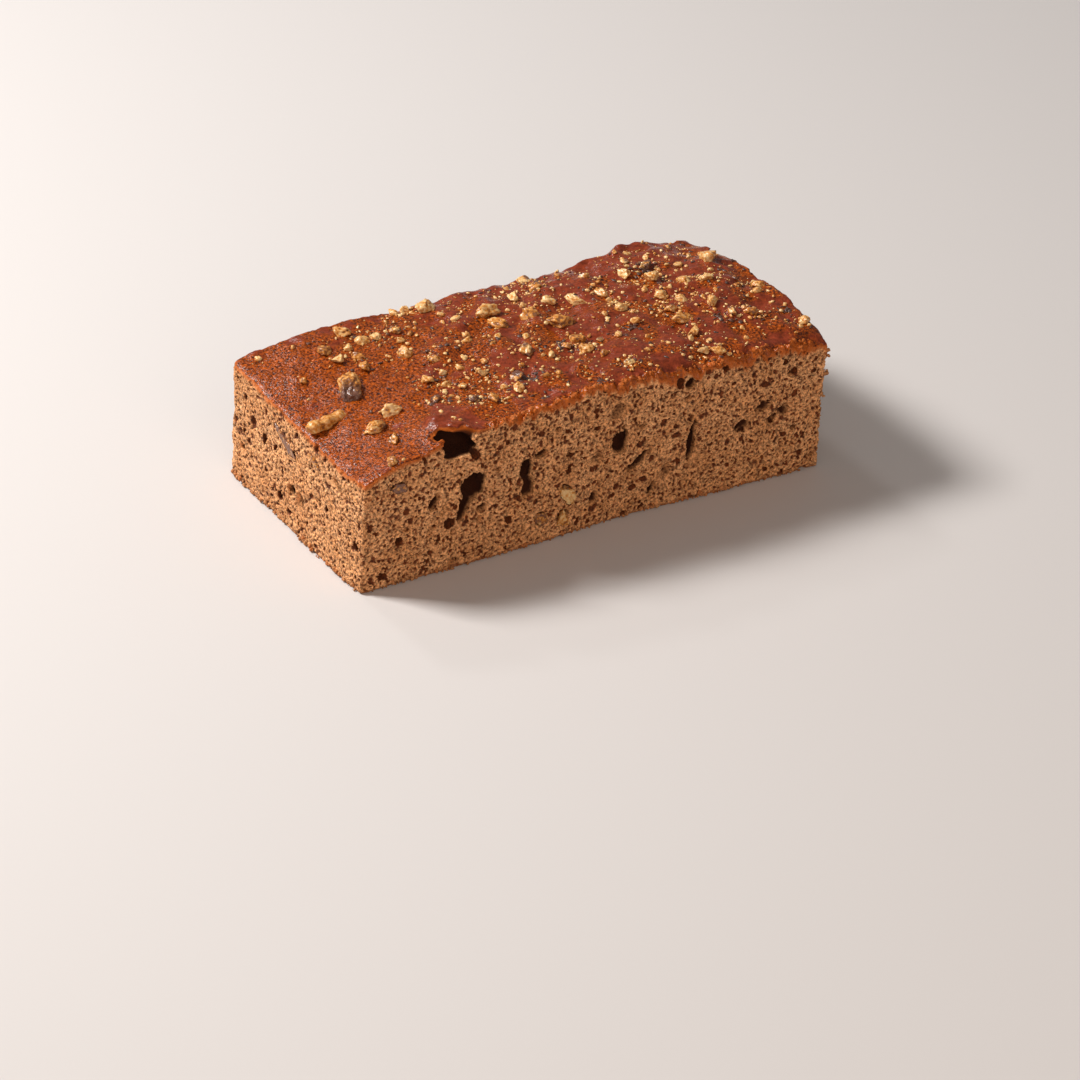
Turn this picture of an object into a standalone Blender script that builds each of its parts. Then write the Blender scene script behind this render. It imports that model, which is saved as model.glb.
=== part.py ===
"""Pound cake loaf with chopped walnuts baked onto its crust.

A bar cut from a larger loaf: all four sides are cut crumb, with the bubbles and the slices of
walnut that the knife opened. The top is the uneven crust, highest along the front, and the
bottom is the thin flat base that stood in the tin. Metres, +Z up, X along the bar, the long side
that shows faces -Y, origin at the middle of the base.
"""

import itertools
import math
import random

import bmesh
import bpy
import numpy as np
from mathutils import Euler, Matrix, Vector, noise

# Size of the bar
LENGTH = 0.1900
WIDTH = 0.0920
LEFT_FACE = -0.0933
RIGHT_FACE = 0.0945
FRONT_FACE = -0.0458
BACK_FACE = 0.0461

# Height of the crust along its four edges: (distance along the edge, height)
FRONT_RISE = ((-0.095, 0.0425), (-0.080, 0.0485), (-0.050, 0.0530), (-0.003, 0.0580),
              (0.035, 0.0575), (0.070, 0.0550), (0.095, 0.0530))
BACK_RISE = ((-0.095, 0.0450), (-0.065, 0.0495), (-0.030, 0.0485), (0.005, 0.0475),
             (0.045, 0.0475), (0.060, 0.0485), (0.072, 0.0490), (0.095, 0.0460))
LEFT_RISE = ((-0.046, 0.0425), (-0.030, 0.0400), (0.010, 0.0410), (0.046, 0.0450))
RIGHT_RISE = ((-0.046, 0.0530), (-0.025, 0.0560), (0.000, 0.0565), (0.025, 0.0535),
              (0.046, 0.0470))
RISE_EASING = 0.006

# Swells in the crust: (x, y, radius, height)
SWELLS = (
    (-0.0580, -0.0350, 0.0085, 0.0034),
    (-0.0480, -0.0300, 0.0100, 0.0012),
    (-0.0350, 0.0080, 0.0120, 0.0014),
    (-0.0180, -0.0080, 0.0110, 0.0012),
    (-0.0020, 0.0330, 0.0130, 0.0014),
    (0.0230, -0.0260, 0.0110, 0.0015),
    (0.0290, 0.0270, 0.0120, 0.0014),
    (0.0440, -0.0060, 0.0100, -0.0012),
    (0.0560, 0.0330, 0.0110, 0.0016),
    (0.0700, 0.0400, 0.0110, 0.0014),
    (0.0730, -0.0150, 0.0100, 0.0012),
    (0.0800, 0.0100, 0.0090, 0.0014),
    (0.0880, -0.0020, 0.0060, -0.0016),
    (0.0050, -0.0130, 0.0090, -0.0010),
    (-0.0760, 0.0260, 0.0150, 0.0010),
)
RIPPLE = 0.0007
RIPPLE_SPACING = 0.011

# Edges and faces of the bar
CELL = 0.0070
EDGE_CUT = 0.0021
BASE_CUT = 0.0012
ON_FACE = 0.000001
CRUST_ROUNDING = 0.0022
CRUST_FALL_SHARE = 0.6
CRUST_THICKNESS = 0.0015
CRUST_SLOPE = 0.35
BASE_ROUNDING = 0.0014
BACK_CORNER_ROUNDING = 0.0034
FACE_WAVE = 0.0005
FACE_WAVE_SPACING = 0.020
FACE_WAVE_START = (7, 3, 5)
LEFT_BULGE = 0.0019
FRONT_HOLLOW = 0.0022
FRONT_HOLLOW_AT = 0.020
FRONT_HOLLOW_REACH = 0.035

# Bubbles that the knife opened: (place along the face, height, width, tallness, depth, lean in
# degrees from upright, towards the end of the face)
FRONT_BUBBLES = (
    (-0.0505, 0.0320, 0.0100, 0.0115, 0.0080, 20),
    (-0.0535, 0.0245, 0.0050, 0.0130, 0.0055, 15),
    (-0.0655, 0.0290, 0.0038, 0.0072, 0.0040, 25),
    (-0.0608, 0.0245, 0.0042, 0.0065, 0.0016, 10),
    (-0.0463, 0.0218, 0.0045, 0.0038, 0.0030, 0),
    (-0.0660, 0.0182, 0.0034, 0.0062, 0.0022, 45),
    (-0.0570, 0.0028, 0.0042, 0.0040, 0.0040, 0),
    (-0.0287, 0.0320, 0.0060, 0.0085, 0.0055, 10),
    (-0.0280, 0.0245, 0.0050, 0.0085, 0.0042, 5),
    (-0.0235, 0.0368, 0.0060, 0.0030, 0.0035, -20),
    (0.0000, 0.0275, 0.0048, 0.0056, 0.0025, 0),
    (0.0094, 0.0325, 0.0070, 0.0105, 0.0055, 10),
    (0.0080, 0.0452, 0.0072, 0.0085, 0.0024, 10),
    (0.0180, 0.0218, 0.0040, 0.0125, 0.0050, 50),
    (0.0300, 0.0140, 0.0050, 0.0100, 0.0020, 15),
    (0.0245, 0.0085, 0.0032, 0.0062, 0.0035, 10),
    (0.0000, 0.0115, 0.0032, 0.0056, 0.0030, 10),
    (0.0395, 0.0240, 0.0036, 0.0190, 0.0050, 4),
    (0.0430, 0.0170, 0.0060, 0.0072, 0.0016, 0),
    (0.0367, 0.0492, 0.0046, 0.0048, 0.0045, 0),
    (0.0690, 0.0312, 0.0072, 0.0050, 0.0028, -15),
    (0.0730, 0.0255, 0.0054, 0.0042, 0.0036, 0),
    (0.0780, 0.0278, 0.0055, 0.0056, 0.0030, 0),
    (0.0605, 0.0250, 0.0075, 0.0062, 0.0034, -10),
)
LEFT_BUBBLES = (
    (0.0281, 0.0336, 0.0030, 0.0085, 0.0040, -67),
    (-0.0031, 0.0150, 0.0062, 0.0042, 0.0035, 0),
    (0.0032, 0.0137, 0.0050, 0.0075, 0.0020, 0),
    (0.0156, 0.0200, 0.0070, 0.0040, 0.0015, 0),
    (-0.0368, 0.0145, 0.0042, 0.0034, 0.0035, 0),
)
LARGE_BUBBLE = 0.0075
BACK_BUBBLES = 8
BACK_BUBBLE_REACH = 0.084
RIGHT_BUBBLES = 4
RIGHT_BUBBLE_REACH = 0.038
HIDDEN_HEIGHTS = (0.010, 0.036)
HIDDEN_WIDTHS = (0.0036, 0.0070)
HIDDEN_TALLNESS = (0.0050, 0.0110)
HIDDEN_DEPTHS = (0.0025, 0.0050)
HIDDEN_LEAN = 40
CAVITY = (-0.0580, -0.0400, 0.0480)
CAVITY_SIZE = (0.0170, 0.0190, 0.0090)
CAVITY_MOUTH = (-0.0570, -0.0460, 0.0530)
CAVITY_MOUTH_SIZE = (0.0140, 0.0150, 0.0110)

# Walnut pieces as large as a berry that lie in the crust: (x, y, length, width, height, turn)
TOP_WALNUTS = {
    "walnut_strip": (-0.0845, -0.0050, 0.0195, 0.0056, 0.0052, 5),
    "walnut_lump": (-0.0702, 0.0060, 0.0150, 0.0092, 0.0070, 56),
    "walnut_pale": (-0.0652, -0.0145, 0.0084, 0.0060, 0.0050, -1),
    "walnut_skinned": (-0.0740, -0.0200, 0.0105, 0.0058, 0.0048, -9),
    "walnut_back_left": (-0.0211, 0.0395, 0.0084, 0.0056, 0.0046, 12),
    "walnut_mid_back": (-0.0052, 0.0244, 0.0094, 0.0068, 0.0052, 6),
    "walnut_mid": (-0.0066, 0.0135, 0.0084, 0.0052, 0.0042, -47),
    "walnut_round": (0.0070, 0.0140, 0.0072, 0.0064, 0.0050, 0),
    "walnut_amber": (0.0128, 0.0030, 0.0112, 0.0088, 0.0062, -39),
    "walnut_long": (0.0268, 0.0140, 0.0110, 0.0050, 0.0044, -67),
    "walnut_tan": (0.0515, -0.0170, 0.0092, 0.0046, 0.0040, -14),
    "walnut_right_mid": (0.0668, 0.0058, 0.0084, 0.0056, 0.0046, -83),
    "walnut_peak": (0.0830, 0.0169, 0.0082, 0.0070, 0.0066, 40),
}
SUNK_SHARE = 0.40
CHOP = 0.42
ROUGHNESS = 0.40
ROUGHNESS_SCALE = 2.6
MOST_TILT = 0.12

# Slices of walnut that show in the cut faces: (place along the face, height, width, tallness,
# depth, lean)
FRONT_SLICES = {
    "walnut_slice_pale": (-0.0112, 0.0172, 0.0052, 0.0094, 0.0040, -32),
    "walnut_slice_grey": (-0.0222, 0.0104, 0.0066, 0.0048, 0.0036, 60),
    "walnut_slice_tan": (-0.0125, 0.0078, 0.0056, 0.0070, 0.0036, 0),
    "walnut_slice_dark": (-0.0795, 0.0388, 0.0066, 0.0042, 0.0036, 20),
}
LEFT_SLICES = {
    "walnut_slice_long": (-0.0087, 0.0318, 0.0036, 0.0175, 0.0040, -67),
    "walnut_slice_end": (0.0119, 0.0343, 0.0028, 0.0078, 0.0034, -79),
}
PROUD = 0.0003
GAP = 0.0003

# Chopped walnut fused to the crust, placed by hand: (x, y, length)
CHOPPED = (
    (-0.0734, -0.0296, 0.0056), (-0.0441, 0.0141, 0.0066), (-0.0516, 0.0306, 0.0060),
    (-0.0556, 0.0380, 0.0070), (-0.0462, 0.0302, 0.0050), (-0.0386, 0.0300, 0.0046),
    (-0.0671, 0.0300, 0.0068), (-0.0657, 0.0224, 0.0050), (-0.0585, 0.0215, 0.0050),
    (-0.0597, 0.0141, 0.0060), (-0.0320, 0.0425, 0.0054), (-0.0274, 0.0430, 0.0050),
    (0.0098, 0.0306, 0.0062), (0.0208, 0.0404, 0.0056), (0.0202, 0.0320, 0.0060),
    (0.0183, 0.0195, 0.0054), (0.0375, 0.0148, 0.0060), (-0.0086, -0.0096, 0.0070),
    (-0.0468, -0.0072, 0.0052), (-0.0344, -0.0305, 0.0056), (-0.0239, -0.0296, 0.0050),
    (-0.0381, -0.0160, 0.0042), (-0.0420, -0.0115, 0.0044), (-0.0382, 0.0035, 0.0050),
    (-0.0287, -0.0136, 0.0042), (-0.0503, -0.0179, 0.0048), (-0.0399, -0.0265, 0.0046),
    (-0.0204, -0.0224, 0.0066), (-0.0810, 0.0197, 0.0032), (-0.0870, 0.0410, 0.0030),
    (0.0518, 0.0228, 0.0056), (0.0578, 0.0143, 0.0062), (0.0617, 0.0228, 0.0058),
    (0.0735, 0.0022, 0.0058), (0.0659, -0.0132, 0.0062), (0.0501, -0.0255, 0.0056),
    (0.0513, -0.0089, 0.0050), (0.0372, 0.0011, 0.0062), (0.0539, 0.0014, 0.0060),
    (0.0583, -0.0052, 0.0050), (0.0102, -0.0188, 0.0056), (0.0165, -0.0367, 0.0046),
    (0.0505, -0.0410, 0.0060), (0.0455, -0.0385, 0.0046), (0.0915, -0.0340, 0.0052),
    (0.0900, -0.0068, 0.0054), (0.0750, -0.0246, 0.0056), (0.0681, -0.0227, 0.0046),
    (0.0116, -0.0100, 0.0060), (0.0056, -0.0125, 0.0048), (-0.0810, -0.0420, 0.0048),
)
SCATTERED = 54
SCATTERED_LENGTHS = (0.0040, 0.0022)
LARGE_CHIP = 0.0052
CHIP_WIDTHS = (0.65, 0.85)
CHIP_HEIGHTS = (0.55, 0.75)
CHIP_LIFT = 0.12
CHIP_SPACING = 0.0012
SCATTER_TRIES = 20000
SCATTER_MARGIN = 0.006
THIN_UP_TO = -0.080
DENSE_FROM = -0.020
THINNEST = 0.04
CRUST_CRUMBS = 14
CRUST_CRUMB_LENGTHS = (0.0032, 0.0018)
CRUST_CRUMB_SPAN = (0.005, 0.060)
CRUST_CRUMB_INSET = (0.0008, 0.0024)
CRUST_CRUMB_SUNK = 0.0004
END_CRUMBS = ((0.0935, -0.0445, 0.0460, 0.0036), (0.0935, -0.0445, 0.0385, 0.0032),
              (-0.0915, -0.0446, 0.0360, 0.0030), (0.0932, -0.0435, 0.0060, 0.0030))

SEED = 31


def material(name, colour, roughness):
    """A Principled material with one colour."""
    made = bpy.data.materials.new(name)
    made.use_nodes = True
    shader = made.node_tree.nodes["Principled BSDF"]
    shader.inputs["Base Color"].default_value = (*colour, 1)
    shader.inputs["Roughness"].default_value = roughness
    shader.inputs["Metallic"].default_value = 0
    return made


def add_object(name, mesh, collection):
    made = bpy.data.objects.new(name, mesh)
    collection.objects.link(made)
    return made


def mesh_from(bm, name):
    """A mesh from a bmesh, its faces turned outwards."""
    bmesh.ops.recalc_face_normals(bm, faces=bm.faces)
    mesh = bpy.data.meshes.new(name)
    bm.to_mesh(mesh)
    bm.free()
    return mesh


def rise(stations, place):
    """Height of an edge of the crust at a place along it, eased between its stations."""
    places, heights = zip(*stations)
    shifts = np.linspace(-RISE_EASING, RISE_EASING, 7)
    return float(np.mean(np.interp(place + shifts, places, heights)))


def crust_height(x, y):
    """Height of the crust: a patch hung between its four edges, with its swells and ripple."""
    across = min(max((x + LENGTH / 2) / LENGTH, 0), 1)
    back = min(max((y + WIDTH / 2) / WIDTH, 0), 1)
    corners = ((1 - across) * (1 - back) * FRONT_RISE[0][1] + across * (1 - back) * FRONT_RISE[-1][1]
               + (1 - across) * back * BACK_RISE[0][1] + across * back * BACK_RISE[-1][1])
    height = ((1 - back) * rise(FRONT_RISE, x) + back * rise(BACK_RISE, x)
              + (1 - across) * rise(LEFT_RISE, y) + across * rise(RIGHT_RISE, y) - corners)
    for middle_x, middle_y, radius, swell in SWELLS:
        apart = ((x - middle_x) ** 2 + (y - middle_y) ** 2) / radius ** 2
        height += swell * math.exp(-apart)
    return height + RIPPLE * noise.noise(Vector((x, y, 0)) / RIPPLE_SPACING)


def face_offset(place):
    """How far a cut face waves in or out at a point."""
    return FACE_WAVE * noise.noise(place / FACE_WAVE_SPACING + Vector(FACE_WAVE_START))


def rounding_drop(distance, radius):
    """How far a rounded edge falls away at a distance from it."""
    if distance >= radius:
        return 0
    distance = max(distance, 0)
    return radius - math.sqrt(radius ** 2 - (radius - distance) ** 2)


def shaped(x, y, z):
    """Moves a point of the plain unit block, with x, y and z from 0 to 1, to its place on the bar."""
    place = Vector((LEFT_FACE + x * (RIGHT_FACE - LEFT_FACE),
                    FRONT_FACE + y * (BACK_FACE - FRONT_FACE), 0))
    from_left = place.x - LEFT_FACE
    from_right = RIGHT_FACE - place.x
    from_front = place.y - FRONT_FACE
    from_back = BACK_FACE - place.y
    edge = min(from_left, from_right, from_front, from_back)
    place.z = z * (crust_height(place.x, place.y) - rounding_drop(edge, CRUST_ROUNDING) * CRUST_FALL_SHARE)
    base_tuck = rounding_drop(place.z, BASE_ROUNDING)
    swell = LEFT_BULGE * (1 - z) ** 1.5 * math.sin(math.pi * min(max(y, 0), 1)) ** 0.5
    hollow = FRONT_HOLLOW * (1 - z) * math.exp(-((place.x - FRONT_HOLLOW_AT) / FRONT_HOLLOW_REACH) ** 2)
    if from_left < ON_FACE:
        place.x += base_tuck - swell + face_offset(place)
    if from_right < ON_FACE:
        place.x -= base_tuck + face_offset(place)
    if from_front < ON_FACE:
        place.y += base_tuck + hollow + face_offset(place)
    if from_back < ON_FACE:
        place.y -= base_tuck + face_offset(place)
    corner = math.hypot(max(BACK_CORNER_ROUNDING - from_left, 0),
                        max(BACK_CORNER_ROUNDING - from_back, 0))
    if corner > BACK_CORNER_ROUNDING:
        pull = (corner - BACK_CORNER_ROUNDING) / math.sqrt(2)
        place.x += pull
        place.y -= pull
    return place


def cuts_along(length, edge_cut):
    """Shares of a side at which the block is cut into cells, with one cut close to each end."""
    cells = round(length / CELL)
    inner = [step / cells for step in range(1, cells)]
    return [edge_cut / length, *inner, 1 - edge_cut / length]


def loaf_body(collection):
    """The bar: a block cut into cells, each of its points moved to the bar's own surface."""
    bm = bmesh.new()
    bmesh.ops.create_cube(bm, size=1, matrix=Matrix.Translation((0.5, 0.5, 0.5)))
    tallest = FRONT_RISE[3][1]
    for axis, length, edge_cut in ((0, LENGTH, EDGE_CUT), (1, WIDTH, EDGE_CUT), (2, tallest, BASE_CUT)):
        for share in cuts_along(length, edge_cut):
            middle = Vector((0, 0, 0))
            middle[axis] = share
            normal = Vector((0, 0, 0))
            normal[axis] = 1
            parts = bm.verts[:] + bm.edges[:] + bm.faces[:]
            bmesh.ops.bisect_plane(bm, geom=parts, plane_co=middle, plane_no=normal, dist=ON_FACE / 10)
    for vert in bm.verts:
        vert.co = shaped(*vert.co)
    inner_edges = [edge for edge in bm.edges
                   if all(face.normal.z < -0.9 for face in edge.link_faces)
                   and all(vert.co.z < ON_FACE for vert in edge.verts)]
    bmesh.ops.dissolve_edges(bm, edges=inner_edges, use_verts=True)
    bmesh.ops.triangulate(bm, faces=bm.faces)
    return add_object("loaf", mesh_from(bm, "loaf"), collection)


def walnut_chunk(name, size, place, turn, detail, seed, collection, upright=False):
    """An irregular chunk of walnut: a ball, or a block where detail is 0, stretched and roughened."""
    rng = random.Random(seed)
    bm = bmesh.new()
    if detail:
        bmesh.ops.create_icosphere(bm, subdivisions=detail, radius=0.5)
    else:
        bmesh.ops.create_cube(bm, size=0.80)
        bmesh.ops.triangulate(bm, faces=bm.faces)
    offset = Vector([rng.uniform(-50, 50) for _ in range(3)])
    for vert in bm.verts:
        vert.co *= 1 + ROUGHNESS * noise.noise(vert.co * ROUGHNESS_SCALE + offset)
        if detail > 1:
            vert.co = Vector([max(min(side, CHOP), -CHOP) for side in vert.co])
    for axis in range(3):
        sides = [vert.co[axis] for vert in bm.verts]
        for vert in bm.verts:
            vert.co[axis] = (vert.co[axis] - min(sides)) / (max(sides) - min(sides)) - 0.5
    tilt = 0 if upright else rng.uniform(-MOST_TILT, MOST_TILT)
    turning = Euler((tilt, 0, turn)).to_matrix().to_4x4()
    bmesh.ops.transform(bm, verts=bm.verts, matrix=Matrix.Diagonal((*size, 1)))
    bmesh.ops.transform(bm, verts=bm.verts, matrix=Matrix.Translation(place) @ turning)
    return add_object(name, mesh_from(bm, name), collection)


def pocket_for(piece, cutters):
    """A cutter that leaves the gap all round a piece that is set in the cake."""
    mesh = piece.data.copy()
    moved = [vert.co + vert.normal * GAP for vert in mesh.vertices]
    for vert, place in zip(mesh.vertices, moved):
        vert.co = place
    return add_object(piece.name + "_pocket", mesh, cutters)


def face_frame(face):
    """The plane of a cut face: its origin, its direction along, and its outward direction."""
    if face == "front":
        return Vector((0, FRONT_FACE, 0)), Vector((1, 0, 0)), Vector((0, -1, 0))
    if face == "back":
        return Vector((0, BACK_FACE, 0)), Vector((-1, 0, 0)), Vector((0, 1, 0))
    if face == "left":
        return Vector((LEFT_FACE, 0, 0)), Vector((0, -1, 0)), Vector((-1, 0, 0))
    return Vector((RIGHT_FACE, 0, 0)), Vector((0, 1, 0)), Vector((1, 0, 0))


def set_on_face(face, along, height, lean, out=0.0):
    """The placing of a thing on a cut face, upright or leaning in the plane of that face."""
    origin, direction, outward = face_frame(face)
    place = origin + direction * along + outward * out
    place.z = height
    basis = Matrix((direction, -outward, (0, 0, 1))).transposed().to_4x4()
    return Matrix.Translation(place) @ basis @ Matrix.Rotation(math.radians(lean), 4, "Y")


def bubble(name, face, size, cutters):
    """A cutter for an opened bubble: an egg that reaches into a face by its depth."""
    along, height, width, tallness, depth, lean = size
    bm = bmesh.new()
    detail = 2 if tallness > LARGE_BUBBLE else 1
    bmesh.ops.create_icosphere(bm, subdivisions=detail, radius=0.5)
    stretch = Matrix.Diagonal((width, depth * 2, tallness, 1))
    bmesh.ops.transform(bm, verts=bm.verts, matrix=set_on_face(face, along, height, lean) @ stretch)
    return add_object(name, mesh_from(bm, name), cutters)


def hidden_bubbles(count, reach, rng):
    """Sizes of the bubbles on a face that the photograph doesn't show, spread along it."""
    sizes = []
    for step in range(count):
        along = reach * (2 * (step + rng.uniform(0.25, 0.75)) / count - 1)
        sizes.append((along, rng.uniform(*HIDDEN_HEIGHTS), rng.uniform(*HIDDEN_WIDTHS),
                      rng.uniform(*HIDDEN_TALLNESS), rng.uniform(*HIDDEN_DEPTHS),
                      rng.uniform(-HIDDEN_LEAN, HIDDEN_LEAN)))
    return sizes


def slice_in_face(name, face, size, seed, collection):
    """A slice of walnut in a cut face, cut off just proud of that face."""
    along, height, width, tallness, depth, lean = size
    made = walnut_chunk(name, (width, depth * 2, tallness), (0, 0, 0), 0, 2, seed, collection, True)
    bm = bmesh.new()
    bm.from_mesh(made.data)
    parts = bm.verts[:] + bm.edges[:] + bm.faces[:]
    cut = bmesh.ops.bisect_plane(bm, geom=parts, plane_co=(0, -PROUD, 0), plane_no=(0, -1, 0),
                                 clear_outer=True)
    rim = [edge for edge in cut["geom_cut"] if isinstance(edge, bmesh.types.BMEdge)]
    bmesh.ops.holes_fill(bm, edges=rim)
    bmesh.ops.triangulate(bm, faces=bm.faces)
    out = -face_inset(face, along, height)
    bmesh.ops.transform(bm, verts=bm.verts, matrix=set_on_face(face, along, height, lean, out))
    bm.to_mesh(made.data)
    bm.free()
    return made


def face_inset(face, along, height):
    """How far the real surface of a visible cut face lies behind its plane."""
    if face == "front":
        across = (along - LEFT_FACE) / (RIGHT_FACE - LEFT_FACE)
        share = height / crust_height(along, FRONT_FACE)
        return shaped(across, 0, share).y - FRONT_FACE
    share = height / crust_height(LEFT_FACE, -along)
    return shaped(0, (-along - FRONT_FACE) / (BACK_FACE - FRONT_FACE), share).x - LEFT_FACE


def scatter_places(rng, taken, count, lengths):
    """Places for small chips, largest first, thin at the left and dense to the right."""
    places = []
    tries = 0
    while len(places) < count and tries < SCATTER_TRIES:
        tries += 1
        length = lengths[0] + (lengths[1] - lengths[0]) * len(places) / count
        x = rng.uniform(LEFT_FACE + SCATTER_MARGIN, RIGHT_FACE - SCATTER_MARGIN)
        y = rng.uniform(FRONT_FACE + SCATTER_MARGIN, BACK_FACE - SCATTER_MARGIN)
        density = (x - THIN_UP_TO) / (DENSE_FROM - THIN_UP_TO)
        if rng.random() > min(max(density, THINNEST), 1):
            continue
        if all(math.hypot(x - other_x, y - other_y) > (length + other) / 2 + CHIP_SPACING
               for other_x, other_y, other in taken):
            taken.append((x, y, length))
            places.append((x, y, length))
    return places


def keep_main_body(loaf):
    """Drops loose scraps and fills sealed hollows: only the largest connected surface stays."""
    bm = bmesh.new()
    bm.from_mesh(loaf.data)
    bodies = []
    left = set(bm.verts)
    while left:
        body = {left.pop()}
        edge_of_search = list(body)
        while edge_of_search:
            vert = edge_of_search.pop()
            for edge in vert.link_edges:
                other = edge.other_vert(vert)
                if other in left:
                    left.remove(other)
                    body.add(other)
                    edge_of_search.append(other)
        bodies.append(body)
    bodies.sort(key=len)
    for body in bodies[:-1]:
        bmesh.ops.delete(bm, geom=list(body), context="VERTS")
    bmesh.ops.triangulate(bm, faces=bm.faces)
    bm.to_mesh(loaf.data)
    bm.free()


def apply_boolean(loaf, operation, collection, solver):
    """Cuts a collection out of the loaf or joins it on, applies that, and removes its objects."""
    boolean = loaf.modifiers.new(operation.lower(), "BOOLEAN")
    boolean.operation = operation
    boolean.operand_type = "COLLECTION"
    boolean.collection = collection
    boolean.solver = solver
    depsgraph = bpy.context.evaluated_depsgraph_get()
    result = bpy.data.meshes.new_from_object(loaf.evaluated_get(depsgraph))
    loaf.modifiers.clear()
    loaf.data = result
    for used in list(collection.objects):
        bpy.data.objects.remove(used)
    keep_main_body(loaf)


def main():
    for old in list(bpy.data.objects):
        bpy.data.objects.remove(old)
    rng = random.Random(SEED)
    seeds = itertools.count(SEED)
    cake = bpy.data.collections.new("pound_cake_loaf")
    cutters = bpy.data.collections.new("cutters")
    chips = bpy.data.collections.new("chopped_walnut")
    for collection in (cake, cutters, chips):
        bpy.context.scene.collection.children.link(collection)
    crumb = material("crumb", (0.37, 0.20, 0.09), 0.90)
    crust = material("crust", (0.26, 0.065, 0.014), 0.35)
    walnut = material("walnut", (0.66, 0.42, 0.17), 0.50)

    loaf = loaf_body(cake)

    taken = []
    for name, size in TOP_WALNUTS.items():
        x, y, length, width, height, turn = size
        place = (x, y, crust_height(x, y) + height * (0.5 - SUNK_SHARE))
        piece = walnut_chunk(name, (length, width, height), place, math.radians(turn), 2,
                             next(seeds), cake)
        piece.data.materials.append(walnut)
        pocket_for(piece, cutters)
        taken.append((x, y, length + 2 * GAP))
    slices = [("front", item) for item in FRONT_SLICES.items()]
    slices += [("left", item) for item in LEFT_SLICES.items()]
    for face, (name, size) in slices:
        piece = slice_in_face(name, face, size, next(seeds), cake)
        piece.data.materials.append(walnut)
        pocket_for(piece, cutters)

    bubbles = [("front", size) for size in FRONT_BUBBLES]
    bubbles += [("left", size) for size in LEFT_BUBBLES]
    bubbles += [("back", size) for size in hidden_bubbles(BACK_BUBBLES, BACK_BUBBLE_REACH, rng)]
    bubbles += [("right", size) for size in hidden_bubbles(RIGHT_BUBBLES, RIGHT_BUBBLE_REACH, rng)]
    for number, (face, size) in enumerate(bubbles):
        bubble(f"bubble_{number}", face, size, cutters)
    for name, place, size in (("cavity", CAVITY, CAVITY_SIZE),
                              ("cavity_mouth", CAVITY_MOUTH, CAVITY_MOUTH_SIZE)):
        bm = bmesh.new()
        bmesh.ops.create_icosphere(bm, subdivisions=2, radius=0.5)
        stretch = Matrix.Diagonal((*size, 1))
        bmesh.ops.transform(bm, verts=bm.verts, matrix=Matrix.Translation(place) @ stretch)
        add_object(name, mesh_from(bm, name), cutters)
    apply_boolean(loaf, "DIFFERENCE", cutters, "EXACT")

    chopped = sorted(CHOPPED, key=lambda chip: -chip[2])
    for x, y, length in chopped:
        taken.append((x, y, length))
    chopped += scatter_places(rng, taken, SCATTERED, SCATTERED_LENGTHS)
    for number, (x, y, length) in enumerate(chopped):
        size = (length, length * rng.uniform(*CHIP_WIDTHS), length * rng.uniform(*CHIP_HEIGHTS))
        place = (x, y, crust_height(x, y) + size[2] * CHIP_LIFT)
        detail = 1 if length > LARGE_CHIP else 0
        turn = rng.uniform(0, math.pi)
        walnut_chunk(f"chip_{number}", size, place, turn, detail, next(seeds), chips)
    for number in range(CRUST_CRUMBS):
        start, end = CRUST_CRUMB_SPAN
        x = start + (end - start) * (number + rng.uniform(0.2, 0.8)) / CRUST_CRUMBS
        y = FRONT_FACE + rng.uniform(*CRUST_CRUMB_INSET)
        length = CRUST_CRUMB_LENGTHS[number % 2]
        place = (x, y, crust_height(x, y) - CRUST_CRUMB_SUNK)
        walnut_chunk(f"crust_crumb_{number}", (length, length, length), place, 0, 0,
                     next(seeds), chips)
    for number, (x, y, z, length) in enumerate(END_CRUMBS):
        walnut_chunk(f"end_crumb_{number}", (length, length, length), (x, y, z), 0, 1,
                     next(seeds), chips)
    apply_boolean(loaf, "UNION", chips, "EXACT")

    loaf.data.materials.clear()
    loaf.data.materials.append(crumb)
    loaf.data.materials.append(crust)
    for face in loaf.data.polygons:
        depth = crust_height(*face.center.xy) - face.center.z
        if face.normal.z > CRUST_SLOPE and depth < CRUST_THICKNESS:
            face.material_index = 1
    for collection in (cutters, chips):
        bpy.data.collections.remove(collection)


main()
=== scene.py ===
"""Looks of the pound cake loaf: open crumb, glossy crust and chopped walnut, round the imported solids.

The crumb is grown on a grid of distances: a bar with its uneven crust, out of which thousands of
small bubbles are taken, and the surface where the grid crosses zero becomes the mesh. Metres.
"""

import math
import random

import bmesh
import bpy
import numpy as np
from mathutils import Matrix, Vector, noise


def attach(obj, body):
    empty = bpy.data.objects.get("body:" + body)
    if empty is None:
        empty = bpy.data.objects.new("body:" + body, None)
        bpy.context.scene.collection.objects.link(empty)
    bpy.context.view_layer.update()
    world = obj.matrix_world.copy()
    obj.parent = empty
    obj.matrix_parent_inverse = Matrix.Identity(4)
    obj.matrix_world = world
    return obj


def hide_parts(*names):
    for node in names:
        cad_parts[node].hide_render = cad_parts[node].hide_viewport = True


bl_info = {
    "name": "Pound cake loaf",
    "version": (1, 0, 0),
    "blender": (4, 5, 0),
    "location": "3D View > Sidebar > Cake",
    "description": "Builds the crumb, the crust, the walnut and the stage of a pound cake loaf",
    "category": "Object",
}

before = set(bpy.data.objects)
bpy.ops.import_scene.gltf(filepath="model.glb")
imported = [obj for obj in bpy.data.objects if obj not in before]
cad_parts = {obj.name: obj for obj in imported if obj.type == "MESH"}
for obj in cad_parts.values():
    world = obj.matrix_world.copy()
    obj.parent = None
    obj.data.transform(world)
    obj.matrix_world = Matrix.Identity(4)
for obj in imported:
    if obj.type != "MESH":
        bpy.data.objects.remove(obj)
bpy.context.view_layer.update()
BODY = "root"
MM = 0.001

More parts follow.
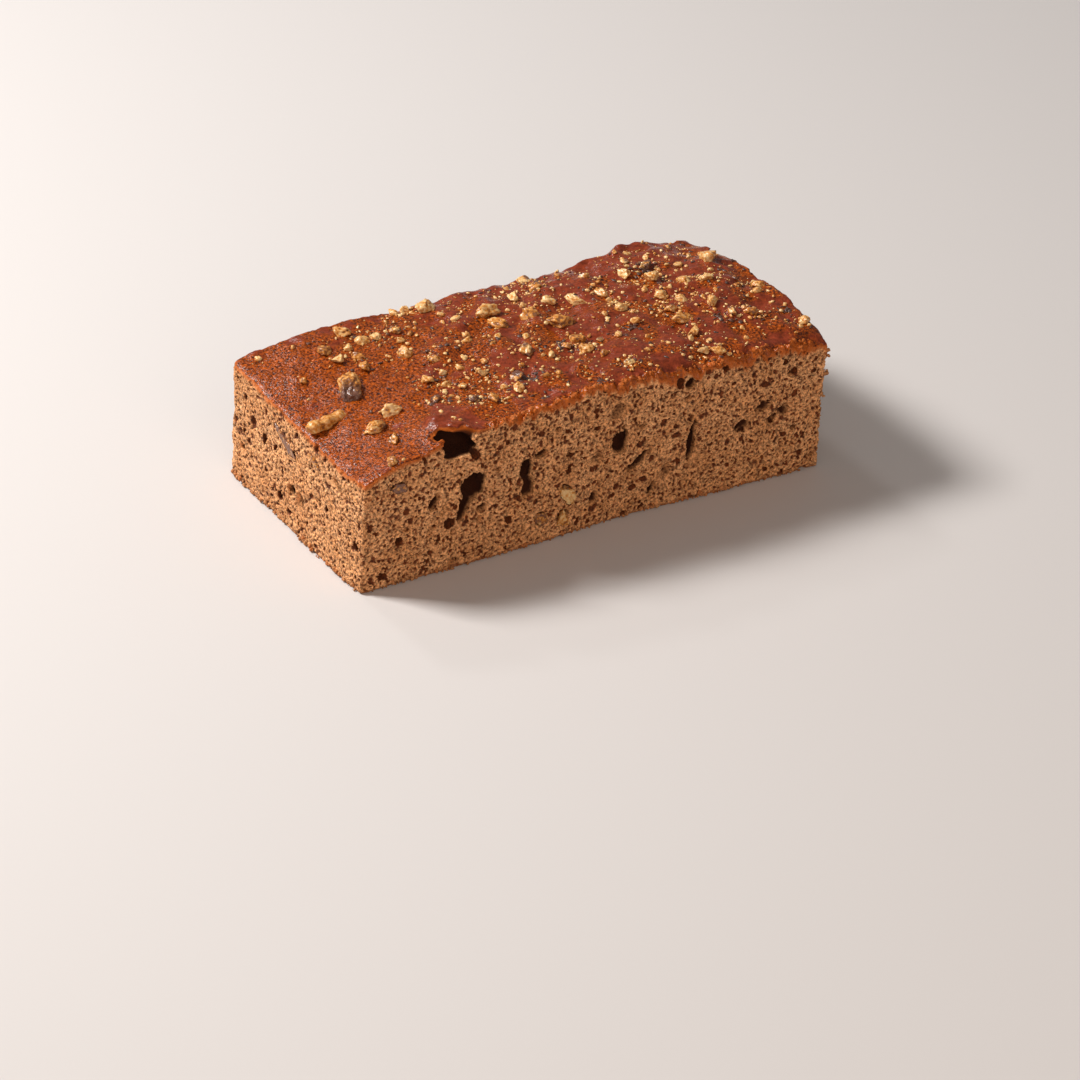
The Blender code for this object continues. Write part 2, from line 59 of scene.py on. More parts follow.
# The bar, as its solid has it. An edge's rise is (place along it, height) from end to end.
LENGTH = 0.1900
WIDTH = 0.0920
LEFT_FACE = -0.0933
RIGHT_FACE = 0.0945
FRONT_FACE = -0.0458
BACK_FACE = 0.0461
FRONT_RISE = ((-0.095, 0.0425), (-0.080, 0.0485), (-0.050, 0.0530), (-0.003, 0.0580),
              (0.035, 0.0575), (0.070, 0.0550), (0.095, 0.0530))
BACK_RISE = ((-0.095, 0.0450), (-0.065, 0.0495), (-0.030, 0.0485), (0.005, 0.0475),
             (0.045, 0.0475), (0.060, 0.0485), (0.072, 0.0490), (0.095, 0.0460))
LEFT_RISE = ((-0.046, 0.0425), (-0.030, 0.0400), (0.010, 0.0410), (0.046, 0.0450))
RIGHT_RISE = ((-0.046, 0.0530), (-0.025, 0.0560), (0.000, 0.0565), (0.025, 0.0535),
              (0.046, 0.0470))
RISE_EASING = 0.006

# Swells of the crust: (x, y, radius, lift)
SWELLS = (
    (-0.0580, -0.0350, 0.0085, 0.0034),
    (-0.0480, -0.0300, 0.0100, 0.0012),
    (-0.0350, 0.0080, 0.0120, 0.0014),
    (-0.0180, -0.0080, 0.0110, 0.0012),
    (-0.0020, 0.0330, 0.0130, 0.0014),
    (0.0230, -0.0260, 0.0110, 0.0015),
    (0.0290, 0.0270, 0.0120, 0.0014),
    (0.0440, -0.0060, 0.0100, -0.0012),
    (0.0560, 0.0330, 0.0110, 0.0016),
    (0.0700, 0.0400, 0.0110, 0.0014),
    (0.0730, -0.0150, 0.0100, 0.0012),
    (0.0800, 0.0100, 0.0090, 0.0014),
    (0.0880, -0.0020, 0.0060, -0.0016),
    (0.0050, -0.0130, 0.0090, -0.0010),
    (-0.0760, 0.0260, 0.0150, 0.0010),
)

# Height and spacing of the crust's ripple and of the cut faces' waves, then the left face's bulge
# and the front face's hollow toward the base
RIPPLE = 0.0007
RIPPLE_SPACING = 0.011
FACE_WAVE = 0.0005
FACE_WAVE_SPACING = 0.020
FACE_WAVE_START = (7, 3, 5)
LEFT_BULGE = 0.0019
FRONT_HOLLOW = 0.0022
FRONT_HOLLOW_AT = 0.020
FRONT_HOLLOW_REACH = 0.035
USUAL_HEIGHT = 0.0500

# How far the left end flares out toward its back corner, and between which places that sets in
LEFT_FLARE = 0.0016
FLARED = (0.008, 0.046)

# The worn front edge of the crust: how far it falls at most, how far back that reaches, and
# between which places along the bar it sets in
SHOULDER = 0.0044
SHOULDER_REACH = 0.0090
SHOULDER_FROM = -0.040
SHOULDER_TO = 0.040

# Where the crust turns from grainy at the left to swollen at the right, the browner rim at the
# back, and the browner patch over the cavity: how far it lies from the cavity, and its radius
SWOLLEN = (-0.070, -0.005)
BACK_RIM = (0.030, 0.046)
ROOF_AWAY = (0.002, 0.006)
ROOF_RADIUS = 0.009

# Rounding where two surfaces of the bar meet
CRUST_EDGE = 0.0018
BASE_EDGE = 0.0014
CUT_EDGE = 0.0010
BACK_CORNER = 0.0040

# Bubbles that the knife opened: (place along the face, height, width, tallness, depth, lean in
# degrees from upright)
FRONT_BUBBLES = (
    (-0.0505, 0.0320, 0.0100, 0.0115, 0.0080, 20),
    (-0.0535, 0.0245, 0.0050, 0.0130, 0.0055, 15),
    (-0.0655, 0.0290, 0.0038, 0.0072, 0.0040, 25),
    (-0.0608, 0.0245, 0.0042, 0.0065, 0.0016, 10),
    (-0.0463, 0.0218, 0.0045, 0.0038, 0.0030, 0),
    (-0.0660, 0.0182, 0.0034, 0.0062, 0.0022, 45),
    (-0.0570, 0.0028, 0.0042, 0.0040, 0.0040, 0),
    (-0.0287, 0.0320, 0.0060, 0.0085, 0.0055, 10),
    (-0.0280, 0.0245, 0.0050, 0.0085, 0.0042, 5),
    (-0.0235, 0.0368, 0.0060, 0.0030, 0.0035, -20),
    (0.0000, 0.0275, 0.0048, 0.0056, 0.0025, 0),
    (0.0094, 0.0325, 0.0070, 0.0105, 0.0055, 10),
    (0.0080, 0.0452, 0.0072, 0.0085, 0.0024, 10),
    (0.0180, 0.0218, 0.0040, 0.0125, 0.0050, 50),
    (0.0300, 0.0140, 0.0050, 0.0100, 0.0020, 15),
    (0.0245, 0.0085, 0.0032, 0.0062, 0.0035, 10),
    (0.0000, 0.0115, 0.0032, 0.0056, 0.0030, 10),
    (0.0395, 0.0240, 0.0036, 0.0190, 0.0050, 4),
    (0.0430, 0.0170, 0.0060, 0.0072, 0.0016, 0),
    (0.0367, 0.0492, 0.0046, 0.0048, 0.0045, 0),
    (0.0690, 0.0312, 0.0072, 0.0050, 0.0028, -15),
    (0.0730, 0.0255, 0.0054, 0.0042, 0.0036, 0),
    (0.0780, 0.0278, 0.0055, 0.0056, 0.0030, 0),
    (0.0605, 0.0250, 0.0075, 0.0062, 0.0034, -10),
)
LEFT_BUBBLES = (
    (0.0281, 0.0336, 0.0030, 0.0085, 0.0040, -67),
    (-0.0031, 0.0150, 0.0062, 0.0042, 0.0035, 0),
    (0.0032, 0.0137, 0.0050, 0.0075, 0.0020, 0),
    (0.0156, 0.0200, 0.0070, 0.0040, 0.0015, 0),
    (-0.0368, 0.0145, 0.0042, 0.0034, 0.0035, 0),
)

# Smaller pits beside them, and the bubbles of the two hidden faces
SMALL_PITS = (
    (0.0792, 0.0423, 0.0026, 0.0024, 0.0028, 10), (0.0706, 0.0450, 0.0018, 0.0018, 0.0022, 0),
    (0.0362, 0.0436, 0.0026, 0.0024, 0.0026, -20), (0.0824, 0.0193, 0.0028, 0.0024, 0.0028, 0),
    (0.0727, 0.0136, 0.0022, 0.0018, 0.0022, 20), (-0.0171, 0.0451, 0.0024, 0.0022, 0.0026, 0),
    (0.0183, 0.0364, 0.0026, 0.0022, 0.0026, 15), (-0.0121, 0.0333, 0.0022, 0.0024, 0.0022, 0),
    (0.0104, 0.0385, 0.0022, 0.0020, 0.0022, 0), (0.0918, 0.0055, 0.0030, 0.0026, 0.0026, 0),
    (-0.0263, 0.0145, 0.0026, 0.0022, 0.0024, 30), (-0.0403, 0.0354, 0.0024, 0.0022, 0.0022, 0),
    (-0.0473, 0.0172, 0.0022, 0.0026, 0.0022, 20), (-0.0578, 0.0150, 0.0020, 0.0028, 0.0022, 40),
    (-0.0707, 0.0097, 0.0026, 0.0020, 0.0020, 0), (-0.0760, 0.0215, 0.0022, 0.0024, 0.0020, 30),
)
BACK_BUBBLES = 8
BACK_BUBBLE_REACH = 0.084
RIGHT_BUBBLES = 4
RIGHT_BUBBLE_REACH = 0.038
HIDDEN_HEIGHTS = (0.010, 0.036)
HIDDEN_WIDTHS = (0.0036, 0.0070)
HIDDEN_TALLNESS = (0.0050, 0.0110)
HIDDEN_DEPTHS = (0.0025, 0.0050)
HIDDEN_LEAN = 40

# The cavity under the crust: its middle, its size and the crust left over it
CAVITY = (-0.0580, -0.0400, 0.0480)
CAVITY_SIZE = (0.0170, 0.0190, 0.0090)
CAVITY_ROOF = 0.0012

# The cavity's mouth, ragged at its rim: ellipsoids of (x, y, z, three reaches)
CAVITY_MOUTH = (
    (-0.0558, -0.0462, 0.0508, 0.0052, 0.0060, 0.0050),
    (-0.0605, -0.0412, 0.0530, 0.0050, 0.0034, 0.0014),
    (-0.0638, -0.0402, 0.0522, 0.0042, 0.0030, 0.0014),
    (-0.0536, -0.0462, 0.0478, 0.0034, 0.0040, 0.0026),
    (-0.0648, -0.0398, 0.0526, 0.0018, 0.0012, 0.0009),
    (-0.0632, -0.0418, 0.0520, 0.0011, 0.0014, 0.0009),
    (-0.0606, -0.0440, 0.0524, 0.0012, 0.0018, 0.0016),
    (-0.0596, -0.0462, 0.0500, 0.0012, 0.0012, 0.0016),
    (-0.0576, -0.0462, 0.0474, 0.0010, 0.0012, 0.0016),
    (-0.0512, -0.0462, 0.0490, 0.0013, 0.0012, 0.0011),
    (-0.0508, -0.0452, 0.0520, 0.0012, 0.0012, 0.0010),
    (-0.0532, -0.0418, 0.0545, 0.0014, 0.0012, 0.0014),
    (-0.0560, -0.0394, 0.0562, 0.0015, 0.0016, 0.0016),
    (-0.0584, -0.0388, 0.0556, 0.0010, 0.0016, 0.0016),
    (-0.0606, -0.0384, 0.0544, 0.0014, 0.0014, 0.0014),
)

# How far strewn crumbs stay from the middles of the mouth's ellipsoids, in reaches
MOUTH_CLEARANCE = 1.3

# Rounding of a large bubble's rim, and the distance between small bubbles in its wall
RIM_ROUNDING = 0.0005
WALL_SPACING = 0.0012

# Small bubbles of a cut face: between which heights, the distance between their rows, and how far
# each is moved from its spot, both in spacings
PORE_HEIGHTS = (0.0004, 0.0590)
ROW_SPACING = 0.87
JITTER = 0.55

# Walnut pieces in the crust: node, then (x, y, length, width, height, turn), then how dark the
# flesh is and how much of it the brown skin covers, from 0 to 1
TOP_WALNUTS = {
    "walnut_strip": ((-0.0845, -0.0050, 0.0195, 0.0056, 0.0052, 5), 0.62, 0.20),
    "walnut_lump": ((-0.0702, 0.0060, 0.0150, 0.0092, 0.0070, 56), 0.60, 0.55),
    "walnut_pale": ((-0.0652, -0.0145, 0.0084, 0.0060, 0.0050, -1), 0.20, 0.10),
    "walnut_skinned": ((-0.0740, -0.0200, 0.0105, 0.0058, 0.0048, -9), 0.50, 0.65),
    "walnut_back_left": ((-0.0211, 0.0395, 0.0084, 0.0056, 0.0046, 12), 0.15, 0.10),
    "walnut_mid_back": ((-0.0052, 0.0244, 0.0094, 0.0068, 0.0052, 6), 0.35, 0.10),
    "walnut_mid": ((-0.0066, 0.0135, 0.0084, 0.0052, 0.0042, -47), 0.60, 0.30),
    "walnut_round": ((0.0070, 0.0140, 0.0072, 0.0064, 0.0050, 0), 0.65, 0.10),
    "walnut_amber": ((0.0128, 0.0030, 0.0112, 0.0088, 0.0062, -39), 0.80, 0.20),
    "walnut_long": ((0.0268, 0.0140, 0.0110, 0.0050, 0.0044, -67), 0.15, 0.15),
    "walnut_tan": ((0.0515, -0.0170, 0.0092, 0.0046, 0.0040, -14), 0.60, 0.15),
    "walnut_right_mid": ((0.0668, 0.0058, 0.0084, 0.0056, 0.0046, -83), 0.35, 0.10),
    "walnut_peak": ((0.0830, 0.0169, 0.0082, 0.0070, 0.0066, 40), 0.30, 0.05),
}
SUNK_SHARE = 0.40
STRIP_LOBES = 3.5

# A piece or a chip longer than this has a finer mesh
LARGE_NUT = 0.0105
LARGE_CHIP = 0.0041

# Which end of a piece the skin is on: 1 the end that its turn points to, -1 the other
SKINNED_ENDS = {"walnut_lump": -1, "walnut_skinned": 1}

# Slices of walnut in the cut faces: node, then face, then (place along the face, height, width,
# tallness, depth, lean), then darkness and skin
SLICES = {
    "walnut_slice_pale": ("front", (-0.0112, 0.0172, 0.0052, 0.0094, 0.0040, -32), 0.10, 0.20),
    "walnut_slice_grey": ("front", (-0.0222, 0.0104, 0.0066, 0.0048, 0.0036, 60), 0.70, 0.60),
    "walnut_slice_tan": ("front", (-0.0125, 0.0078, 0.0056, 0.0070, 0.0036, 0), 0.55, 0.20),
    "walnut_slice_dark": ("front", (-0.0795, 0.0388, 0.0066, 0.0042, 0.0036, 20), 0.90, 0.70),
    "walnut_slice_long": ("left", (-0.0087, 0.0318, 0.0036, 0.0175, 0.0040, -67), 0.90, 0.68),
    "walnut_slice_end": ("left", (0.0119, 0.0343, 0.0028, 0.0078, 0.0034, -79), 0.75, 0.45),
}

# How far a slice stands out of the cut face, and the most that its outline is stretched
PROUD = 0.0003
WIDEST_SLICE = 1.5

# Chopped walnut too small for a solid of its own, placed one by one: (x, y, length)
CHOPPED = (
    (-0.0734, -0.0296, 0.0056), (-0.0441, 0.0141, 0.0066), (-0.0516, 0.0306, 0.0060),
    (-0.0556, 0.0380, 0.0070), (-0.0462, 0.0302, 0.0050), (-0.0386, 0.0300, 0.0046),
    (-0.0671, 0.0300, 0.0068), (-0.0657, 0.0224, 0.0050), (-0.0585, 0.0215, 0.0050),
    (-0.0597, 0.0141, 0.0060), (-0.0320, 0.0425, 0.0054), (-0.0274, 0.0430, 0.0050),
    (0.0098, 0.0306, 0.0062), (0.0208, 0.0404, 0.0056), (0.0202, 0.0320, 0.0060),
    (0.0183, 0.0195, 0.0054), (0.0375, 0.0148, 0.0060), (-0.0086, -0.0096, 0.0070),
    (-0.0468, -0.0072, 0.0052), (-0.0344, -0.0305, 0.0056), (-0.0239, -0.0296, 0.0050),
    (-0.0381, -0.0160, 0.0042), (-0.0420, -0.0115, 0.0044), (-0.0382, 0.0035, 0.0050),
    (-0.0287, -0.0136, 0.0042), (-0.0503, -0.0179, 0.0048), (-0.0399, -0.0265, 0.0046),
    (-0.0204, -0.0224, 0.0066), (-0.0810, 0.0197, 0.0032), (-0.0870, 0.0410, 0.0030),
    (0.0518, 0.0228, 0.0056), (0.0578, 0.0143, 0.0062), (0.0617, 0.0228, 0.0058),
    (0.0735, 0.0022, 0.0058), (0.0659, -0.0132, 0.0062), (0.0501, -0.0255, 0.0056),
    (0.0513, -0.0089, 0.0050), (0.0372, 0.0011, 0.0062), (0.0539, 0.0014, 0.0060),
    (0.0583, -0.0052, 0.0050), (0.0102, -0.0188, 0.0056), (0.0165, -0.0367, 0.0046),
    (0.0505, -0.0410, 0.0060), (0.0455, -0.0385, 0.0046), (0.0915, -0.0340, 0.0052),
    (0.0900, -0.0068, 0.0054), (0.0750, -0.0246, 0.0056), (0.0681, -0.0227, 0.0046),
    (0.0116, -0.0100, 0.0060), (0.0056, -0.0125, 0.0048), (-0.0810, -0.0420, 0.0048),
)

# Smaller chips scattered between them: their number and lengths, how a chip is shaped and laid,
# the room between chips, and how they thin out toward the left
SCATTERED = 54
SCATTERED_LENGTHS = (0.0040, 0.0022)
CHIP_WIDTHS = (0.65, 0.85)
CHIP_HEIGHTS = (0.55, 0.75)
CHIP_LIFT = 0.12
CHIP_SPACING = 0.0012
GAP = 0.0003
SCATTER_TRIES = 20000
SCATTER_MARGIN = 0.006
THIN_UP_TO = -0.080
DENSE_FROM = -0.020
THINNEST = 0.04

# Chips that skin covers: (x, y)
SKINNED_CHIPS = ((0.0617, 0.0228), (-0.0204, -0.0224), (-0.0503, -0.0179), (-0.0399, -0.0265))

# Where flakes of dark skin gather: (x, y, reach, number)
DARK_PLACES = (
    (-0.0160, -0.0240, 0.0040, 44), (-0.0390, -0.0260, 0.0026, 16), (0.0045, -0.0110, 0.0036, 24),
    (0.0030, -0.0410, 0.0022, 10), (0.0620, 0.0230, 0.0026, 22), (0.0630, -0.0220, 0.0024, 14),
    (0.0885, -0.0250, 0.0026, 12), (0.0330, -0.0130, 0.0022, 10),
)

# The torn edge of the crust along the front: where it runs, and its crumbs. Then the crumbs that
# hang along the base, and the clusters at the upright corners: (x, y, z, length)
TORN_FROM = -0.042
TORN_TO = 0.086
TORN_CRUMBS = 260
TORN_CLUSTERS = 30
TORN_EASING = 0.006
BASE_CRUMBS = 380
END_CLUSTER = 6
END_CRUMBS = ((0.0948, -0.0445, 0.0460, 0.0036), (0.0946, -0.0442, 0.0385, 0.0032),
              (0.0940, -0.0450, 0.0300, 0.0020), (0.0938, -0.0448, 0.0180, 0.0020),
              (-0.0915, -0.0446, 0.0360, 0.0030), (0.0936, -0.0440, 0.0060, 0.0030))

# The photograph's camera, in the cake's frame, its turns in degrees and its lens in millimetres
CAMERA_AT = (-0.73001, -1.12468, 0.81608)
CAMERA_PITCH = 57.75
CAMERA_ROLL = 3.52
CAMERA_YAW = -33.27
CAMERA_LENS = 146.667
CAMERA_SENSOR = 36

# Half a side of the floor, and the light that comes from all round
FLOOR_REACH = 6
ROOM_LIGHT = 0.17

# Most triangles that one piece may have
LARGEST_PIECE = 200_000

SEED = 31


class CrumbSettings(bpy.types.PropertyGroup):
    """Sizes and colours of the cut crumb."""

    cell: bpy.props.FloatProperty(
        name="Grid cell", description="Distance between the points that the crumb is grown on",
        default=0.34 * MM, min=0.2 * MM, unit="LENGTH", precision=5)
    pore: bpy.props.FloatProperty(
        name="Pore radius", description="Usual radius of a small bubble in the crumb",
        default=0.42 * MM, unit="LENGTH", precision=5)
    pore_spacing: bpy.props.FloatProperty(
        name="Pore spacing", description="Usual distance between small bubbles in a cut face",
        default=1.30 * MM, unit="LENGTH", precision=5)
    kept_share: bpy.props.FloatProperty(
        name="Share of faces kept", description="Share of the grown faces that the mesh keeps",
        default=0.31, min=0.05, max=1, subtype="FACTOR")
    colour: bpy.props.StringProperty(
        name="Crumb colour", description="Colour of the cell walls, as an sRGB hex value",
        default="#CC9464")
    patch_colour: bpy.props.StringProperty(
        name="Patch colour", description="Colour of the crumb's browner patches, as an sRGB hex value",
        default="#BA8050")
    # Painted shade: the dark colour given down inside the small bubbles, where shade falls.
    pit_shade_colour: bpy.props.StringProperty(
        name="Pit colour", description="Colour inside a small bubble, as an sRGB hex value",
        default="#5E2C0E")
    # Painted shade: the darker colour given down in the large bubbles and in the cavity.
    deep_shade_colour: bpy.props.StringProperty(
        name="Deep colour", description="Colour down in a large bubble, as an sRGB hex value",
        default="#3A1A0A")
    base_colour: bpy.props.StringProperty(
        name="Base colour", description="Colour of the browned base, as an sRGB hex value",
        default="#7E4420")


class CrustSettings(bpy.types.PropertyGroup):
    """Sizes and colours of the browned crust."""

    thickness: bpy.props.FloatProperty(
        name="Thickness", description="Depth to which the crust is browned",
        default=1.3 * MM, unit="LENGTH", precision=5)
    grain: bpy.props.FloatProperty(
        name="Grain", description="Distance between the pebbles of the crust's skin",
        default=0.9 * MM, unit="LENGTH", precision=5)
    colour: bpy.props.StringProperty(
        name="Crust colour", description="Colour of the grainy parts, as an sRGB hex value",
        default="#AE5010")
    # The colour between the pebbles is partly the crust's darker grain and partly painted shade in the
    # grooves.
    dark_grain_and_shade_colour: bpy.props.StringProperty(
        name="Grain colour", description="Colour between the pebbles, as an sRGB hex value",
        default="#3C1408")
    swell_colour: bpy.props.StringProperty(
        name="Swell colour", description="Colour of the smooth swells, as an sRGB hex value",
        default="#7C331D")
    torn_colour: bpy.props.StringProperty(
        name="Torn colour", description="Colour of the crust's torn edge, as an sRGB hex value",
        default="#B85C1A")


class WalnutSettings(bpy.types.PropertyGroup):
    """Colours and number of the walnut pieces."""

    pale_colour: bpy.props.StringProperty(
        name="Pale flesh", description="Colour of the palest walnut, as an sRGB hex value",
        default="#E6C086")
    amber_colour: bpy.props.StringProperty(
        name="Amber flesh", description="Colour of the most roasted walnut, as an sRGB hex value",
        default="#CC8232")
    # Painted shade: the darker colour given down in the walnut's furrows and between its lobes.
    furrow_shade_colour: bpy.props.StringProperty(
        name="Furrow", description="Colour down in the walnut's furrows, as an sRGB hex value",
        default="#84522E")
    skin_colour: bpy.props.StringProperty(
        name="Skin", description="Colour of the skin on the walnut, as an sRGB hex value",
        default="#6A4638")
    flake_colour: bpy.props.StringProperty(
        name="Flake", description="Colour of the darkest flakes of skin, as an sRGB hex value",
        default="#241A1C")
    crumbs: bpy.props.IntProperty(
        name="Crumbs", description="Number of walnut crumbs on the crust", default=620, min=0)
    dust: bpy.props.IntProperty(
        name="Dust", description="Number of walnut grains under a millimetre", default=1500, min=0)
    flecks: bpy.props.IntProperty(
        name="Flecks", description="Number of dark flecks of walnut skin", default=300, min=0)


class StageSettings(bpy.types.PropertyGroup):
    """Floor and light."""

    floor_colour: bpy.props.StringProperty(
        name="Floor colour", description="Colour of the plain floor, as an sRGB hex value",
        default="#CFCAC8")
    key_power: bpy.props.FloatProperty(
        name="Key light", description="Power of the large soft light from the back left",
        default=31, min=0, unit="POWER")
    fill_power: bpy.props.FloatProperty(
        name="Fill light", description="Power of the soft light beside the camera",
        default=8.6, min=0, unit="POWER")


def linear(colour):
    """A linear colour from an sRGB hex value."""
    channels = [int(colour[place:place + 2], 16) / 255 for place in (1, 3, 5)]
    return [*[value / 12.92 if value <= 0.04045 else ((value + 0.055) / 1.055) ** 2.4
              for value in channels], 1]


def add_node(tree, kind, settings=None, links=None):
    """Adds a node with its settings, and with values or links for its inputs."""
    node = tree.nodes.new("ShaderNode" + kind)
    for name, value in (settings or {}).items():
        setattr(node, name, value)
    for name, value in (links or {}).items():
        if isinstance(value, bpy.types.NodeSocket):
            tree.links.new(value, node.inputs[name])
        else:
            node.inputs[name].default_value = value
    return node


def new_material(name):
    """A material with its node tree and its Principled shader."""
    made = bpy.data.materials.new(name)
    made.use_nodes = True
    return made, made.node_tree, made.node_tree.nodes["Principled BSDF"]


def edge_rise(stations, place):
    """Height of an edge of the crust at places along it, eased between its stations."""
    places, heights = zip(*stations)
    shifts = np.linspace(-RISE_EASING, RISE_EASING, 7)
    return np.mean([np.interp(place + shift, places, heights) for shift in shifts], axis=0)


def swell_height(x, y):
    """How far the swells lift the crust at a place."""
    lift = 0
    for middle_x, middle_y, radius, swell in SWELLS:
        lift = lift + swell * np.exp(-((x - middle_x) ** 2 + (y - middle_y) ** 2) / radius ** 2)
    return lift


def crust_height(x, y):
    """Height of the crust without its ripple: a patch hung between its four edges, and swells."""
    across = np.clip((x + LENGTH / 2) / LENGTH, 0, 1)
    back = np.clip((y + WIDTH / 2) / WIDTH, 0, 1)
    corners = ((1 - across) * (1 - back) * FRONT_RISE[0][1] + across * (1 - back) * FRONT_RISE[-1][1]
               + (1 - across) * back * BACK_RISE[0][1] + across * back * BACK_RISE[-1][1])
    patch = ((1 - back) * edge_rise(FRONT_RISE, x) + back * edge_rise(BACK_RISE, x)
             + (1 - across) * edge_rise(LEFT_RISE, y) + across * edge_rise(RIGHT_RISE, y) - corners)
    return patch + swell_height(x, y)


def noise_at(points, spacing, start=(0, 0, 0)):
    """Smooth noise from about -1 to 1 at each point."""
    places = np.asarray(points, dtype=float) / spacing + np.asarray(start, dtype=float)
    return np.array([noise.noise(place) for place in places])


def noise_map(first, second, to_point, spacing, start=(0, 0, 0)):
    """Smooth noise over a grid of two directions."""
    points = [to_point(a, b) for a in first for b in second]
    return noise_at(points, spacing, start).reshape(len(first), len(second))


def grained(shape, step, grain, rng):
    """Smooth noise of unit height on a grid of points, its bumps about one grain across."""
    waves = np.fft.rfft2(rng.standard_normal(shape))
    across = np.fft.fftfreq(shape[0], step)[:, None]
    along = np.fft.rfftfreq(shape[1], step)[None, :]
    smooth = np.fft.irfft2(waves * np.exp(-2 * (across ** 2 + along ** 2) * grain ** 2), s=shape)
    return smooth / smooth.std()


def smooth_step(low, high, value):
    """0 below low, 1 above high, and eased between."""
    share = np.clip((value - low) / (high - low), 0, 1)
    return share * share * (3 - 2 * share)


def rounded_max(a, b, radius):
    """The larger of two distances, with the edge where they meet rounded."""
    close = np.maximum(radius - np.abs(a - b), 0) / radius
    return np.maximum(a, b) + close ** 2 * (radius / 4)


class Bar:
    """The bar on a grid of points: its bounding surfaces as maps, and what lies between them."""

    # Room round the bar on the grid, and above the highest edge
    margin = 1.6 * MM
    headroom = 3 * MM

    # Pebbles, wrinkles and hollows of the crust, and grains of the cut faces: sizes and heights
    grain_height = 0.06 * MM
    wrinkle = 4.5 * MM
    wrinkle_height = 0.26 * MM
    hollow = 9 * MM
    hollow_height = 0.50 * MM
    crumb_grains = ((0.8 * MM, 0.07 * MM), (3.0 * MM, 0.12 * MM))

    # The torn front edge: how deep, how far back and how coarse it is torn
    torn_depth = 0.9 * MM
    torn_width = 4.2 * MM
    torn_grain = 1.6 * MM

    # Size of the browner patches, and what browns the crust: being at the right, a patch, the
    # cavity's roof, the back rim, and each metre that a swell lifts it
    brown_patch = 7 * MM
    brown_shares = (0.72, 0.28, 0.9, 0.35, 160)

    def __init__(self, cell, crust_grain):
        rng = np.random.default_rng(SEED)
        self.cell = cell
        highest = FRONT_RISE[3][1] + self.headroom
        leftmost = LEFT_FACE - LEFT_BULGE - LEFT_FLARE
        self.x = np.arange(leftmost - self.margin, RIGHT_FACE + self.margin, cell)
        self.y = np.arange(FRONT_FACE - self.margin, BACK_FACE + self.margin, cell)
        self.z = np.arange(-self.margin, highest + self.margin, cell)
        self.axes = (self.x, self.y, self.z)
        self.make_crust(crust_grain, rng)
        self.make_faces(rng)

    def make_crust(self, grain, rng):
        """The map of the crust's height, and how far each place is browned to a smooth swell."""
        x, y = self.x[:, None], self.y[None, :]
        shape = (len(self.x), len(self.y))
        patches = grained(shape, self.cell, self.brown_patch, rng)
        toward_right = smooth_step(*SWOLLEN, x)
        away_x, away_y = ROOF_AWAY
        near_cavity = np.exp(-((x - CAVITY[0] - away_x) ** 2 + (y - CAVITY[1] - away_y) ** 2)
                             / ROOF_RADIUS ** 2)
        rim = smooth_step(*BACK_RIM, y)
        at_right, in_patch, on_roof, on_rim, on_swell = self.brown_shares
        brown = at_right * toward_right + in_patch * patches + on_roof * near_cavity + on_rim * rim
        brown += on_swell * swell_height(x, y) * toward_right
        self.brown = smooth_step(0.30, 0.90, brown)
        ripple = noise_map(self.x, self.y, lambda a, b: (a, b, 0), RIPPLE_SPACING)
        self.crust = crust_height(x, y) + RIPPLE * ripple
        pebbles = grained(shape, self.cell, grain, rng)
        wrinkles = grained(shape, self.cell, self.wrinkle, rng)
        self.crust += self.grain_height * pebbles * (1 - 0.65 * self.brown)
        self.crust += self.wrinkle_height * wrinkles * (0.4 + 0.9 * self.brown)
        hollows = grained(shape, self.cell, self.hollow, rng)
        self.crust += self.hollow_height * hollows * (0.25 + 0.75 * toward_right)
        worn = smooth_step(SHOULDER_FROM, SHOULDER_TO, x) * SHOULDER
        rest = 1 - np.clip((y - FRONT_FACE) / SHOULDER_REACH, 0, 1)
        self.crust -= worn * (1 - np.sqrt(1 - rest ** 2))
        torn = grained(shape, self.cell, self.torn_grain, rng)
        along = smooth_step(TORN_FROM - TORN_EASING, TORN_FROM, x)
        along = along * (1 - smooth_step(TORN_TO, TORN_TO + TORN_EASING, x))
        near_edge = 1 - smooth_step(0, self.torn_width, y - FRONT_FACE)
        self.crust += self.torn_depth * (torn - 0.4) * along * near_edge
        self.brown -= 1.4 * along * smooth_step(0.25, 0.55, near_edge + 0.12 * torn)

    def make_faces(self, rng):
        """The maps of the four cut faces."""
        x, y, z = self.x, self.y, self.z
        low = 1 - np.clip(z / USUAL_HEIGHT, 0, 1)[None, :]
        wave = (FACE_WAVE_SPACING, FACE_WAVE_START)
        hollow = FRONT_HOLLOW * np.exp(-((x - FRONT_HOLLOW_AT) / FRONT_HOLLOW_REACH) ** 2)[:, None]
        self.front = FRONT_FACE + hollow * low
        self.front += FACE_WAVE * noise_map(x, z, lambda a, b: (a, FRONT_FACE, b), *wave)
        self.back = BACK_FACE - FACE_WAVE * noise_map(x, z, lambda a, b: (a, BACK_FACE, b), *wave)
        middle = np.clip((y - FRONT_FACE) / (BACK_FACE - FRONT_FACE), 0, 1)[:, None]
        bulge = LEFT_BULGE * low ** 1.5 * np.abs(np.sin(math.pi * middle)) ** 0.5
        self.left = LEFT_FACE - bulge - LEFT_FLARE * smooth_step(*FLARED, y)[:, None]
        self.left += FACE_WAVE * noise_map(y, z, lambda a, b: (LEFT_FACE, a, b), *wave)
        self.right = RIGHT_FACE - FACE_WAVE * noise_map(y, z, lambda a, b: (RIGHT_FACE, a, b), *wave)
        for face in (self.front, self.back, self.left, self.right):
            for grain, height in self.crumb_grains:
                face += height * grained(face.shape, self.cell, grain, rng)

